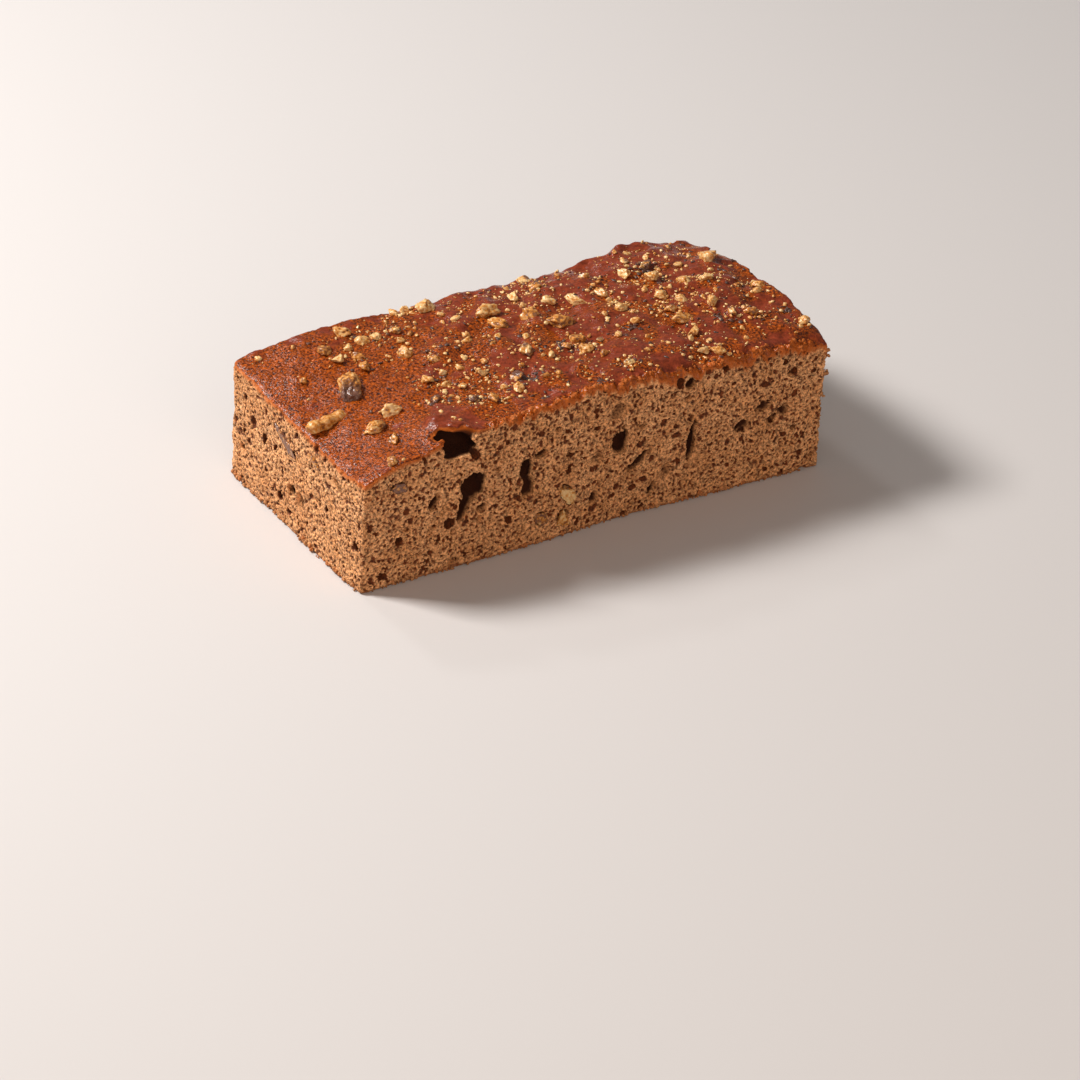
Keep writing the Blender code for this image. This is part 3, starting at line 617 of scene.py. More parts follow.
    def field(self):
        """Signed distance from the bar's surface at every grid point, negative inside."""
        x, y, z = np.meshgrid(*[axis.astype(np.float32) for axis in self.axes],
                              indexing="ij", sparse=True)
        crust, front, back, left, right = [
            surface.astype(np.float32)
            for surface in (self.crust, self.front, self.back, self.left, self.right)]
        sides = rounded_max(left[None, :, :] - x, y - back[:, None, :], BACK_CORNER)
        sides = rounded_max(sides, x - right[None, :, :], CUT_EDGE)
        sides = rounded_max(sides, front[:, None, :] - y, CUT_EDGE)
        sides = rounded_max(sides, z - crust[:, :, None], CRUST_EDGE)
        return rounded_max(sides, -z, BASE_EDGE)

    def sample(self, surface, first, second, u, v):
        """Values of a map at points between its grid points."""
        a = np.clip((u - first[0]) / self.cell, 0, len(first) - 1.001)
        b = np.clip((v - second[0]) / self.cell, 0, len(second) - 1.001)
        i, j = np.asarray(a).astype(int), np.asarray(b).astype(int)
        s, t = a - i, b - j
        return ((1 - s) * (1 - t) * surface[i, j] + s * (1 - t) * surface[i + 1, j]
                + (1 - s) * t * surface[i, j + 1] + s * t * surface[i + 1, j + 1])

    def crust_at(self, x, y):
        """Height of the crust at places."""
        return self.sample(self.crust, self.x, self.y, x, y)

    def brown_at(self, x, y):
        """How far the crust is browned at places."""
        return self.sample(self.brown, self.x, self.y, x, y)

    def depths(self, points):
        """Depth of points behind the crust, the four cut faces and the base."""
        px, py, pz = points.T
        return {
            "crust": self.crust_at(px, py) - pz,
            "front": py - self.sample(self.front, self.x, self.z, px, pz),
            "back": self.sample(self.back, self.x, self.z, px, pz) - py,
            "left": px - self.sample(self.left, self.y, self.z, py, pz),
            "right": self.sample(self.right, self.y, self.z, py, pz) - px,
            "base": pz,
        }

    def on_face(self, face, along, height):
        """The point of a cut face at a place along it and a height."""
        if face in ("front", "back"):
            x = along if face == "front" else -along
            surface = self.front if face == "front" else self.back
            return Vector((x, float(self.sample(surface, self.x, self.z, x, height)), height))
        y = -along if face == "left" else along
        surface = self.left if face == "left" else self.right
        return Vector((float(self.sample(surface, self.y, self.z, y, height)), y, height))


BARS = {}


def the_bar():
    """The bar that all pieces share, made once for each size of cell."""
    crumb = bpy.context.scene.cake_crumb
    crust = bpy.context.scene.cake_crust
    cell = crumb.cell * 1
    if cell not in BARS:
        BARS[cell] = Bar(cell, crust.grain)
    return BARS[cell]


FACE_DIRECTIONS = {
    "front": ((1, 0, 0), (0, -1, 0)),
    "back": ((-1, 0, 0), (0, 1, 0)),
    "left": ((0, -1, 0), (-1, 0, 0)),
    "right": ((0, 1, 0), (1, 0, 0)),
}
FACE_REACH = {"front": (-0.0940, 0.0950), "back": (-0.0950, 0.0940),
              "left": (-0.0465, 0.0465), "right": (-0.0465, 0.0465)}


def face_turn(face, lean):
    """Turning of a thing on a face: its x along the face, its y into it and its z up, then leaning."""
    direction, outward = [Vector(side) for side in FACE_DIRECTIONS[face]]
    basis = Matrix((direction, -outward, (0, 0, 1))).transposed()
    return basis @ Matrix.Rotation(math.radians(lean), 3, "Y")


# Waves that make a large bubble uneven: (strength, usual pace in radians over one reach)
UNEVEN_WAVES = ((0.10, 2.5), (0.07, 5), (0.04, 9))


def take_out(field, axes, middle, reaches, turn=None, rng=None):
    """Takes an ellipsoid out of the field; with random numbers, one of uneven form and worn rim."""
    uneven = 1.25 if rng is not None else 1
    spans = reaches if turn is None else (max(reaches),) * 3
    picks = []
    offsets = []
    for axis, centre, span in zip(axes, middle, spans):
        first, last = np.searchsorted(axis, (centre - span * uneven, centre + span * uneven))
        picks.append(slice(first, last))
        offsets.append(axis[first:last] - centre)
    dx, dy, dz = np.meshgrid(*offsets, indexing="ij", sparse=True)
    if turn is not None:
        dx, dy, dz = [row[0] * dx + row[1] * dy + row[2] * dz for row in turn.transposed()]
    dx, dy, dz = dx / reaches[0], dy / reaches[1], dz / reaches[2]
    away = np.sqrt(dx ** 2 + dy ** 2 + dz ** 2)
    if rng is not None:
        for strength, pace in UNEVEN_WAVES:
            way = rng.normal(0, pace / 1.7, 3)
            shift = rng.uniform(0, 6.3)
            away = away + strength * np.sin(way[0] * dx + way[1] * dy + way[2] * dz + shift)
    block = field[tuple(picks)]
    if rng is not None and block.size:
        block[...] = rounded_max(block, (1 - away) * min(reaches), RIM_ROUNDING)
    else:
        np.maximum(block, (1 - away) * min(reaches), out=block)


def surface_net(field, axes):
    """Points and four-cornered faces of the surface where a field crosses zero."""
    inside = field < 0
    corners = [(a, b, c) for a in (0, 1) for b in (0, 1) for c in (0, 1)]
    size = [length - 1 for length in field.shape]

    def shifted(values, corner):
        return values[tuple(slice(move, move + length) for move, length in zip(corner, size))]

    count = np.zeros(size, np.uint8)
    for corner in corners:
        count += shifted(inside, corner)
    mixed = (count > 0) & (count < 8)
    cells = np.argwhere(mixed)
    number = np.full(size, -1, np.int32)
    number[mixed] = np.arange(len(cells), dtype=np.int32)
    values = {corner: shifted(field, corner)[mixed] for corner in corners}
    total = np.zeros((len(cells), 3))
    hits = np.zeros(len(cells))
    for first in corners:
        for axis in range(3):
            if first[axis]:
                continue
            second = tuple(1 if place == axis else value for place, value in enumerate(first))
            low, high = values[first], values[second]
            crossing = (low < 0) != (high < 0)
            share = np.where(crossing, low / np.where(low == high, 1, low - high), 0)
            for place in range(3):
                total[:, place] += crossing * (first[place] + (share if place == axis else 0))
            hits += crossing
    step = axes[0][1] - axes[0][0]
    points = np.array([axis[0] for axis in axes]) + (cells + total / hits[:, None]) * step
    faces = []
    for axis in range(3):
        u, v = (axis + 1) % 3, (axis + 2) % 3
        low = [slice(1, -1)] * 3
        high = [slice(1, -1)] * 3
        low[axis], high[axis] = slice(0, -1), slice(1, None)
        starts = np.argwhere(inside[tuple(low)] != inside[tuple(high)])
        starts[:, u] += 1
        starts[:, v] += 1
        leaving = inside[tuple(starts.T)]
        ring = []
        for move_u, move_v in ((0, 0), (-1, 0), (-1, -1), (0, -1)):
            place = starts.copy()
            place[:, u] += move_u
            place[:, v] += move_v
            ring.append(number[tuple(place.T)])
        ring = np.stack(ring, axis=1)
        ring[~leaving] = ring[~leaving, ::-1]
        faces.append(ring)
    return points, np.concatenate(faces)


def mesh_from_arrays(name, points, faces):
    """A mesh from arrays of points and of faces that all have the same number of corners."""
    mesh = bpy.data.meshes.new(name)
    mesh.vertices.add(len(points))
    mesh.vertices.foreach_set("co", np.ascontiguousarray(points, np.float32).ravel())
    mesh.loops.add(faces.size)
    mesh.loops.foreach_set("vertex_index", np.ascontiguousarray(faces, np.int32).ravel())
    mesh.polygons.add(len(faces))
    mesh.polygons.foreach_set("loop_start", np.arange(0, faces.size, faces.shape[1], dtype=np.int32))
    mesh.update(calc_edges=True)
    return mesh


def add_values(mesh, name, values):
    """Stores one number for each point of a mesh, for its material to read."""
    attribute = mesh.attributes.new(name, "FLOAT", "POINT")
    attribute.data.foreach_set("value", np.ascontiguousarray(values, np.float32))


def add_bake_map(mesh, places):
    """Lays the mesh out flat for baking: one place for each point, stretched to fill the map."""
    low, high = places.min(axis=0), places.max(axis=0)
    spread = (places - low) / np.maximum(high - low, 1e-9)
    corners = np.empty(len(mesh.loops), np.int32)
    mesh.loops.foreach_get("vertex_index", corners)
    layer = mesh.uv_layers.new(name="OFBake")
    layer.data.foreach_set("uv", np.ascontiguousarray(spread[corners], np.float32).ravel())


def add_piece(name, mesh, material, slot, *nodes):
    """Puts a mesh in the scene as a piece that rides on the cake and stands for its nodes."""
    mesh.materials.append(material)
    mesh.shade_smooth()
    piece = bpy.data.objects.new(name, mesh)
    bpy.context.scene.collection.objects.link(piece)
    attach(piece, BODY)
    if nodes:
        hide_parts(*nodes)


def fewer_faces(points, faces, share):
    """The points and triangles of a mesh once its least needed edges are collapsed."""
    mesh = mesh_from_arrays("rough", points, faces)
    rough = bpy.data.objects.new("rough", mesh)
    bpy.context.scene.collection.objects.link(rough)
    modifier = rough.modifiers.new("fewer", "DECIMATE")
    modifier.ratio = share
    modifier.use_collapse_triangulate = True
    result = rough.evaluated_get(bpy.context.evaluated_depsgraph_get()).to_mesh()
    points = np.empty(len(result.vertices) * 3, np.float32)
    result.vertices.foreach_get("co", points)
    corners = np.empty(len(result.loops), np.int32)
    result.loops.foreach_get("vertex_index", corners)
    bpy.data.objects.remove(rough)
    bpy.data.meshes.remove(mesh)
    return points.reshape(-1, 3).astype(float), corners.reshape(-1, 3)


def largest_body(points, faces):
    """Drops the faces that aren't joined to the main surface."""
    label = np.arange(len(points))
    while True:
        lowest = label[faces].min(axis=1)
        spread = label.copy()
        for corner in range(faces.shape[1]):
            np.minimum.at(spread, faces[:, corner], lowest)
        spread = spread[spread]
        if np.array_equal(spread, label):
            break
        label = spread
    names, counts = np.unique(label[faces[:, 0]], return_counts=True)
    return faces[label[faces[:, 0]] == names[counts.argmax()]]


def hidden_bubbles(count, reach, rng):
    """Sizes of the bubbles on a face that the photograph doesn't show, spread along it."""
    sizes = []
    for step in range(count):
        along = reach * (2 * (step + rng.uniform(0.25, 0.75)) / count - 1)
        sizes.append((along, rng.uniform(*HIDDEN_HEIGHTS), rng.uniform(*HIDDEN_WIDTHS),
                      rng.uniform(*HIDDEN_TALLNESS), rng.uniform(*HIDDEN_DEPTHS),
                      rng.uniform(-HIDDEN_LEAN, HIDDEN_LEAN)))
    return sizes


def scatter_places(rng, taken):
    """Places for small chips, largest first, thin at the left and dense to the right."""
    places = []
    tries = 0
    largest, smallest = SCATTERED_LENGTHS
    while len(places) < SCATTERED and tries < SCATTER_TRIES:
        tries += 1
        length = largest + (smallest - largest) * len(places) / SCATTERED
        x = rng.uniform(LEFT_FACE + SCATTER_MARGIN, RIGHT_FACE - SCATTER_MARGIN)
        y = rng.uniform(FRONT_FACE + SCATTER_MARGIN, BACK_FACE - SCATTER_MARGIN)
        density = (x - THIN_UP_TO) / (DENSE_FROM - THIN_UP_TO)
        if rng.random() > min(max(density, THINNEST), 1):
            continue
        if all(math.hypot(x - other_x, y - other_y) > (length + other) / 2 + CHIP_SPACING
               for other_x, other_y, other in taken):
            taken.append((x, y, length))
            places.append((x, y, length))
    return places


def chosen_places():
    """The hidden bubbles and all the chips, drawn in the same order as in the solids."""
    rng = random.Random(SEED)
    back = hidden_bubbles(BACK_BUBBLES, BACK_BUBBLE_REACH, rng)
    right = hidden_bubbles(RIGHT_BUBBLES, RIGHT_BUBBLE_REACH, rng)
    taken = [(size[0], size[1], size[2] + 2 * GAP) for size, _, _ in TOP_WALNUTS.values()]
    chips = sorted(CHOPPED, key=lambda chip: -chip[2])
    taken += chips
    chips += scatter_places(rng, taken)
    sized = []
    for x, y, length in chips:
        width = length * rng.uniform(*CHIP_WIDTHS)
        height = length * rng.uniform(*CHIP_HEIGHTS)
        sized.append((x, y, length, width, height, math.degrees(rng.uniform(0, math.pi))))
    return back, right, sized


def bubbles_on_faces():
    """The large bubbles: the face of each, and its sizes."""
    back, right, _ = chosen_places()
    bubbles = {"front": FRONT_BUBBLES + SMALL_PITS, "left": LEFT_BUBBLES, "back": back, "right": right}
    return [(face, size) for face, sizes in bubbles.items() for size in sizes]


def open_large_bubbles(field, bar):
    """Takes the large bubbles, the cavity under the crust and the slices' pockets out."""
    rng = np.random.default_rng(SEED + 1)
    for face, (along, height, width, tallness, depth, lean) in bubbles_on_faces():
        take_out(field, bar.axes, bar.on_face(face, along, height),
                 (width / 2, depth, tallness / 2), face_turn(face, lean), rng)
    for face, (along, height, width, tallness, depth, lean), _, _ in SLICES.values():
        reaches = (width / 2, depth, tallness / 2)
        take_out(field, bar.axes, bar.on_face(face, along, height), reaches, face_turn(face, lean))
    hollow = np.full(field.shape, -MM, np.float32)
    take_out(hollow, bar.axes, CAVITY, [side / 2 for side in CAVITY_SIZE], Matrix.Identity(3), rng)
    under_roof = bar.crust[:, :, None] - CAVITY_ROOF - bar.z[None, None, :]
    np.maximum(field, np.minimum(hollow, under_roof), out=field)
    for x, y, z, wide, deep, tall in CAVITY_MOUTH:
        take_out(field, bar.axes, (x, y, z), (wide, deep, tall), Matrix.Identity(3), rng)


def roughen_bubbles(field, bar, pore, rng):
    """Takes small bubbles out of the walls of the large ones."""
    for face, (along, height, width, tallness, depth, lean) in bubbles_on_faces():
        middle = bar.on_face(face, along, height)
        reaches = np.array((width / 2, depth, tallness / 2))
        area = 2.1 * (reaches.sum() ** 2 - (reaches ** 2).sum()) / 2
        count = int(area / WALL_SPACING ** 2)
        ways = rng.normal(size=(count, 3))
        ways /= np.linalg.norm(ways, axis=1)[:, None]
        ways[:, 1] = np.abs(ways[:, 1])
        turn = face_turn(face, lean)
        for way, size in zip(ways, pore * np.exp(rng.normal(0, 0.25, count))):
            take_out(field, bar.axes, middle + turn @ Vector(way * reaches), (size, size, size))


def value_at(field, bar, points):
    """Values of a field at points between its grid points."""
    places = (points - [axis[0] for axis in bar.axes]) / bar.cell
    low = np.clip(places.astype(int), 0, np.array(field.shape) - 2)
    share = np.clip(places - low, 0, 1)
    total = 0
    for corner in ((a, b, c) for a in (0, 1) for b in (0, 1) for c in (0, 1)):
        weight = np.prod(np.where(corner, share, 1 - share), axis=1)
        total = total + weight * field[tuple((low + corner).T)]
    return total


def jittered(low, high, bottom, top, spacing, rng):
    """Places spread over a face, each moved at random from its spot on a grid."""
    along = np.arange(low, high, spacing)
    up = np.arange(bottom, top, spacing * ROW_SPACING)
    grid = np.stack(np.meshgrid(along, up, indexing="ij"), axis=-1)
    grid[:, 1::2, 0] += spacing / 2
    return (grid + rng.uniform(-JITTER, JITTER, grid.shape) * spacing).reshape(-1, 2)


def open_pores(field, bar, face, pore, spacing, rng):
    """Takes the small bubbles of one cut face out of the field."""
    low, high = FACE_REACH[face]
    # Distance apart, usual radius, spread of the radii, how far in, in radii, and tallness
    sizes = (
        (spacing, pore, 0.24, (0.0, 0.75), 1.0),
        (spacing * 1.3, pore * 0.85, 0.20, (0.0, 0.6), 1.0),
        (9.0 * MM, pore * 2.2, 0.30, (-0.1, 0.6), 1.15),
    )
    inward = -Vector(FACE_DIRECTIONS[face][1])
    for apart, usual, spread, depths, tall in sizes:
        places = jittered(low, high, *PORE_HEIGHTS, apart, rng)
        radii = usual * np.exp(rng.normal(0, spread, len(places)))
        stretch = np.exp(rng.normal(0, 0.16, (len(places), 3)))
        sunk = rng.uniform(*depths, len(places))
        for (along, height), radius, sides, share in zip(places, radii, stretch, sunk):
            middle = bar.on_face(face, along, height) + inward * (radius * share)
            across, deep, up = sides * radius
            if face in ("left", "right"):
                across, deep = deep, across
            take_out(field, bar.axes, middle, (across, deep, up * tall))


def crumb_material(name, crumb, crust):
    """Cut crumb: dry matt cell walls, with painted shade, darker and more orange, down in the bubbles, a
    thin orange-brown band where it turns into crust and a thin browned base."""
    made, tree, shader = new_material(name)
    place = add_node(tree, "TexCoord").outputs["Object"]
    pit = add_node(tree, "Attribute", {"attribute_name": "pit_depth"}).outputs["Fac"]
    pore = add_node(tree, "Attribute", {"attribute_name": "pore_depth"}).outputs["Fac"]
    under = add_node(tree, "Attribute", {"attribute_name": "crust_depth"}).outputs["Fac"]
    over = add_node(tree, "Attribute", {"attribute_name": "base_depth"}).outputs["Fac"]
    patches = add_node(tree, "TexNoise", None, {"Vector": place, "Scale": 1 / (9 * MM), "Detail": 3})
    # The walls' own grain is too fine to show in the render, so it is drawn at 0.55 to 0.9 mm
    grain = add_node(tree, "TexNoise", None, {"Vector": place, "Scale": 1 / (0.9 * MM), "Detail": 4,
                                              "Roughness": 0.75})
    patch = add_node(tree, "MapRange", None, {"Value": patches.outputs["Fac"], "From Min": 0.35,
                                              "From Max": 0.65})
    walls = add_node(tree, "MixRGB", None, {"Fac": patch.outputs["Result"],
                                            "Color1": linear(crumb.colour),
                                            "Color2": linear(crumb.patch_colour)})
    # The lightest specks, up to twice the walls' colour, are partly the walls' own grain and partly
    # painted highlights on the wet cell walls.
    speck = add_node(tree, "MapRange", None, {"Value": grain.outputs["Fac"], "From Min": 0.36,
                                              "From Max": 0.64, "To Min": 0.26, "To Max": 2.02})
    # Painted shade: the walls turn to the pit shade colour down inside the small bubbles.
    deep = add_node(tree, "MapRange", {"interpolation_type": "SMOOTHSTEP"},
                    {"Value": pore, "From Min": 0.05, "From Max": 0.62})
    pore_shaded = add_node(tree, "MixRGB", None, {"Fac": deep.outputs["Result"],
                                             "Color1": walls.outputs["Color"],
                                             "Color2": linear(crumb.pit_shade_colour)})
    specked = add_node(tree, "MixRGB", {"blend_type": "MULTIPLY"},
                       {"Fac": 1, "Color1": pore_shaded.outputs["Color"], "Color2": speck.outputs["Result"]})
    # Painted shade: deeper behind the cut face, down in the large bubbles, the colour turns to the deep
    # shade colour.
    bubble_shade_mask = add_node(tree, "MapRange", {"interpolation_type": "SMOOTHSTEP"},
                       {"Value": pit, "From Min": 0.8, "From Max": 3.0})
    sunk = add_node(tree, "MixRGB", None, {"Fac": bubble_shade_mask.outputs["Result"],
                                           "Color1": specked.outputs["Color"],
                                           "Color2": linear(crumb.deep_shade_colour)})
    ragged = add_node(tree, "MapRange", None, {"Value": grain.outputs["Fac"], "To Min": -0.8,
                                               "To Max": 0.8})
    level = add_node(tree, "Math", {"operation": "ADD"})
    tree.links.new(under, level.inputs[0])
    tree.links.new(ragged.outputs["Result"], level.inputs[1])
    band = add_node(tree, "MapRange", {"interpolation_type": "SMOOTHSTEP"},
                    {"Value": level.outputs["Value"], "From Min": 0.5,
                     "From Max": crust.thickness / MM * 1.9, "To Min": 1, "To Max": 0})
    crusted = add_node(tree, "MixRGB", None, {"Fac": band.outputs["Result"],
                                              "Color1": sunk.outputs["Color"],
                                              "Color2": linear(crust.torn_colour)})
    low = add_node(tree, "MapRange", {"interpolation_type": "SMOOTHSTEP"},
                   {"Value": over, "From Min": 0.3, "From Max": 1.8, "To Min": 0.75, "To Max": 0})
    based = add_node(tree, "MixRGB", None, {"Fac": low.outputs["Result"],
                                            "Color1": crusted.outputs["Color"],
                                            "Color2": linear(crumb.base_colour)})
    tree.links.new(based.outputs["Color"], shader.inputs["Base Color"])
    dull = add_node(tree, "MapRange", None, {"Value": pit, "From Min": 0.4, "From Max": 1.8,
                                             "To Min": 0.55, "To Max": 1.0})
    tree.links.new(dull.outputs["Result"], shader.inputs["Roughness"])
    shader.inputs["Specular IOR Level"].default_value = 0.25
    shader.inputs["Subsurface Weight"].default_value = 0.06
    shader.inputs["Subsurface Radius"].default_value = (1.0, 0.55, 0.25)
    shader.inputs["Subsurface Scale"].default_value = 1.2 * MM
    cells = add_node(tree, "TexVoronoi", None, {"Vector": place, "Scale": 1 / (0.55 * MM)})
    uneven = add_node(tree, "Math", {"operation": "ADD"})
    tree.links.new(grain.outputs["Fac"], uneven.inputs[0])
    tree.links.new(cells.outputs["Distance"], uneven.inputs[1])
    bump = add_node(tree, "Bump", None, {"Strength": 0.9, "Distance": 0.20 * MM,
                                         "Height": uneven.outputs["Value"]})
    tree.links.new(bump.outputs["Normal"], shader.inputs["Normal"])
    return made


def crust_material(name, crumb, crust):
    """Browned crust: sugar and fat baked to a slightly glossy skin, grainy and orange where thin, its
    grain darker partly by painted shade in the grooves between the pebbles, smooth and red-brown on the
    swells, with small glints from its pebbles, and with painted shade down the walls of the cavity under
    it."""
    made, tree, shader = new_material(name)
    place = add_node(tree, "TexCoord").outputs["Object"]
    brown = add_node(tree, "Attribute", {"attribute_name": "brown"}).outputs["Fac"]
    under = add_node(tree, "Attribute", {"attribute_name": "crust_depth"}).outputs["Fac"]
    patches = add_node(tree, "TexNoise", None, {"Vector": place, "Scale": 1 / (3.5 * MM), "Detail": 4})
    grain = add_node(tree, "TexNoise", None, {"Vector": place, "Scale": 1 / (0.9 * MM), "Detail": 3,
                                              "Roughness": 0.65})
    # Where the grain is low, in the grooves between the pebbles, the colour turns dark: partly the
    # crust's own grain, partly painted shade.
    pebble = add_node(tree, "MapRange", None, {"Value": grain.outputs["Fac"], "From Min": 0.38,
                                               "From Max": 0.62})
    grainy = add_node(tree, "MixRGB", None, {"Fac": pebble.outputs["Result"],
                                             "Color1": linear(crust.dark_grain_and_shade_colour),
                                             "Color2": linear(crust.colour)})
    ragged = add_node(tree, "MapRange", None, {"Value": patches.outputs["Fac"], "From Min": 0.3,
                                               "From Max": 0.7, "To Min": -0.35, "To Max": 0.35})
    mixed = add_node(tree, "Math", {"operation": "ADD"})
    tree.links.new(brown, mixed.inputs[0])
    tree.links.new(ragged.outputs["Result"], mixed.inputs[1])
    swollen = add_node(tree, "MapRange", {"interpolation_type": "SMOOTHSTEP"},
                       {"Value": mixed.outputs["Value"], "From Min": 0.10, "From Max": 1.05})
    skin = add_node(tree, "MixRGB", None, {"Fac": swollen.outputs["Result"],
                                           "Color1": grainy.outputs["Color"],
                                           "Color2": linear(crust.swell_colour)})
    freckles = add_node(tree, "TexNoise", None, {"Vector": place, "Scale": 1 / (1.6 * MM), "Detail": 5,
                                                 "Roughness": 0.7})
    freckle = add_node(tree, "MapRange", None, {"Value": freckles.outputs["Fac"], "From Min": 0.34,
                                                "From Max": 0.66, "To Min": 0.58, "To Max": 1.36})
    freckled = add_node(tree, "MixRGB", {"blend_type": "MULTIPLY"},
                        {"Fac": 1, "Color1": skin.outputs["Color"], "Color2": freckle.outputs["Result"]})
    worn = add_node(tree, "MapRange", None, {"Value": brown, "From Min": 0, "From Max": -0.8,
                                             "To Max": 0.8})
    ripped = add_node(tree, "MixRGB", None, {"Fac": worn.outputs["Result"],
                                             "Color1": freckled.outputs["Color"],
                                             "Color2": linear(crust.torn_colour)})
    torn = add_node(tree, "MapRange", {"interpolation_type": "SMOOTHSTEP"},
                    {"Value": under, "From Min": 0.35, "From Max": 0.8})
    edge = add_node(tree, "MixRGB", None, {"Fac": torn.outputs["Result"],
                                           "Color1": ripped.outputs["Color"],
                                           "Color2": linear(crust.torn_colour)})
    # Painted shade: below the crust's thickness, on the cavity's walls, the colour turns to the pit
    # shade colour, and from 2.5 to 5 mm down to the deep shade colour.
    inner = add_node(tree, "MapRange", {"interpolation_type": "SMOOTHSTEP"},
                     {"Value": under, "From Min": crust.thickness / MM, "From Max": 3.0})
    walls = add_node(tree, "MixRGB", None, {"Fac": inner.outputs["Result"],
                                            "Color1": edge.outputs["Color"],
                                            "Color2": linear(crumb.pit_shade_colour)})
    dark = add_node(tree, "MapRange", {"interpolation_type": "SMOOTHSTEP"},
                    {"Value": under, "From Min": 2.5, "From Max": 5.0})
    inside = add_node(tree, "MixRGB", None, {"Fac": dark.outputs["Result"],
                                             "Color1": walls.outputs["Color"],
                                             "Color2": linear(crumb.deep_shade_colour)})
    tree.links.new(inside.outputs["Color"], shader.inputs["Base Color"])
    dull = add_node(tree, "MapRange", None, {"Value": under, "From Min": 0.3, "From Max": 0.9,
                                             "To Min": 0.24, "To Max": 0.90})
    tree.links.new(dull.outputs["Result"], shader.inputs["Roughness"])
    shader.inputs["Specular IOR Level"].default_value = 0.27
    pebbles = add_node(tree, "TexVoronoi", {"feature": "SMOOTH_F1"},
                       {"Vector": place, "Scale": 1 / (0.8 * MM)})
    uneven = add_node(tree, "Math", {"operation": "ADD"})
    tree.links.new(grain.outputs["Fac"], uneven.inputs[0])
    tree.links.new(pebbles.outputs["Distance"], uneven.inputs[1])
    calm = add_node(tree, "MapRange", None, {"Value": swollen.outputs["Result"], "To Min": 1.0,
                                             "To Max": 0.45})
    bump = add_node(tree, "Bump", None, {"Strength": calm.outputs["Result"], "Distance": 0.22 * MM,
                                         "Height": uneven.outputs["Value"]})
    tree.links.new(bump.outputs["Normal"], shader.inputs["Normal"])
    return made


def walnut_material(name, walnut):
    """Chopped walnut: broken oily flesh from cream to amber, with painted shade down in its furrows and
    thin brown skin on some sides.
    """
    made, tree, shader = new_material(name)
    place = add_node(tree, "TexCoord").outputs["Object"]
    tone = add_node(tree, "Attribute", {"attribute_name": "tone"}).outputs["Fac"]
    skin = add_node(tree, "Attribute", {"attribute_name": "skin"}).outputs["Fac"]
    mottle = add_node(tree, "TexNoise", None, {"Vector": place, "Scale": 1 / (1.3 * MM), "Detail": 4})
    shade = add_node(tree, "MapRange", None, {"Value": mottle.outputs["Fac"], "From Min": 0.32,
                                              "From Max": 0.68, "To Min": -0.50, "To Max": 0.50})
    mixed = add_node(tree, "Math", {"operation": "ADD"})
    tree.links.new(tone, mixed.inputs[0])
    tree.links.new(shade.outputs["Result"], mixed.inputs[1])
    roast = add_node(tree, "MapRange", None, {"Value": mixed.outputs["Value"], "From Max": 0.8})
    pale = add_node(tree, "MixRGB", None, {"Fac": roast.outputs["Result"],
                                           "Color1": linear(walnut.pale_colour),
                                           "Color2": linear(walnut.amber_colour)})
    # The darkest flesh turns to the furrow colour, and so does the flesh in the furrows as painted
    # shade.
    down = add_node(tree, "MapRange", {"interpolation_type": "SMOOTHSTEP"},
                    {"Value": mixed.outputs["Value"], "From Min": 0.7, "From Max": 1.3})
    flesh = add_node(tree, "MixRGB", None, {"Fac": down.outputs["Result"],
                                            "Color1": pale.outputs["Color"],
                                            "Color2": linear(walnut.furrow_shade_colour)})
    fine = add_node(tree, "TexNoise", None, {"Vector": place, "Scale": 1 / (0.6 * MM), "Detail": 3})
    edge = add_node(tree, "Math", {"operation": "ADD"})
    tree.links.new(skin, edge.inputs[0])
    tree.links.new(fine.outputs["Fac"], edge.inputs[1])
    cover = add_node(tree, "MapRange", {"interpolation_type": "SMOOTHSTEP"},
                     {"Value": edge.outputs["Value"], "From Min": 0.75, "From Max": 1.30})
    skinned = add_node(tree, "MixRGB", None, {"Fac": cover.outputs["Result"],
                                              "Color1": flesh.outputs["Color"],
                                              "Color2": linear(walnut.skin_colour)})
    tree.links.new(skinned.outputs["Color"], shader.inputs["Base Color"])
    shader.inputs["Roughness"].default_value = 0.25
    shader.inputs["Subsurface Weight"].default_value = 0.12
    shader.inputs["Subsurface Radius"].default_value = (1.0, 0.6, 0.3)
    shader.inputs["Subsurface Scale"].default_value = 1.0 * MM
    bump = add_node(tree, "Bump", None, {"Strength": 0.7, "Distance": 0.2 * MM,
                                         "Height": fine.outputs["Fac"]})
    tree.links.new(bump.outputs["Normal"], shader.inputs["Normal"])
    return made


def skin_material(name, walnut):
    """Flakes of walnut skin: thin, dark, slightly shiny."""
    made, tree, shader = new_material(name)
    place = add_node(tree, "TexCoord").outputs["Object"]
    mottle = add_node(tree, "TexNoise", None, {"Vector": place, "Scale": 1 / (1.5 * MM), "Detail": 2})
    colour = add_node(tree, "MixRGB", None, {"Fac": mottle.outputs["Fac"],
                                             "Color1": linear(walnut.flake_colour),
                                             "Color2": linear(walnut.skin_colour)})
    tree.links.new(colour.outputs["Color"], shader.inputs["Base Color"])
    shader.inputs["Roughness"].default_value = 0.38
    return made


BALLS = {}


def ball(detail):
    """Points and triangles of a round ball, finer with each step of detail."""
    if detail not in BALLS:
        bm = bmesh.new()
        bmesh.ops.create_icosphere(bm, subdivisions=detail, radius=1)
        bm.verts.index_update()
        points = np.array([vert.co for vert in bm.verts])
        faces = np.array([[vert.index for vert in face.verts] for face in bm.faces])
        bm.free()
        BALLS[detail] = points, faces
    return BALLS[detail]


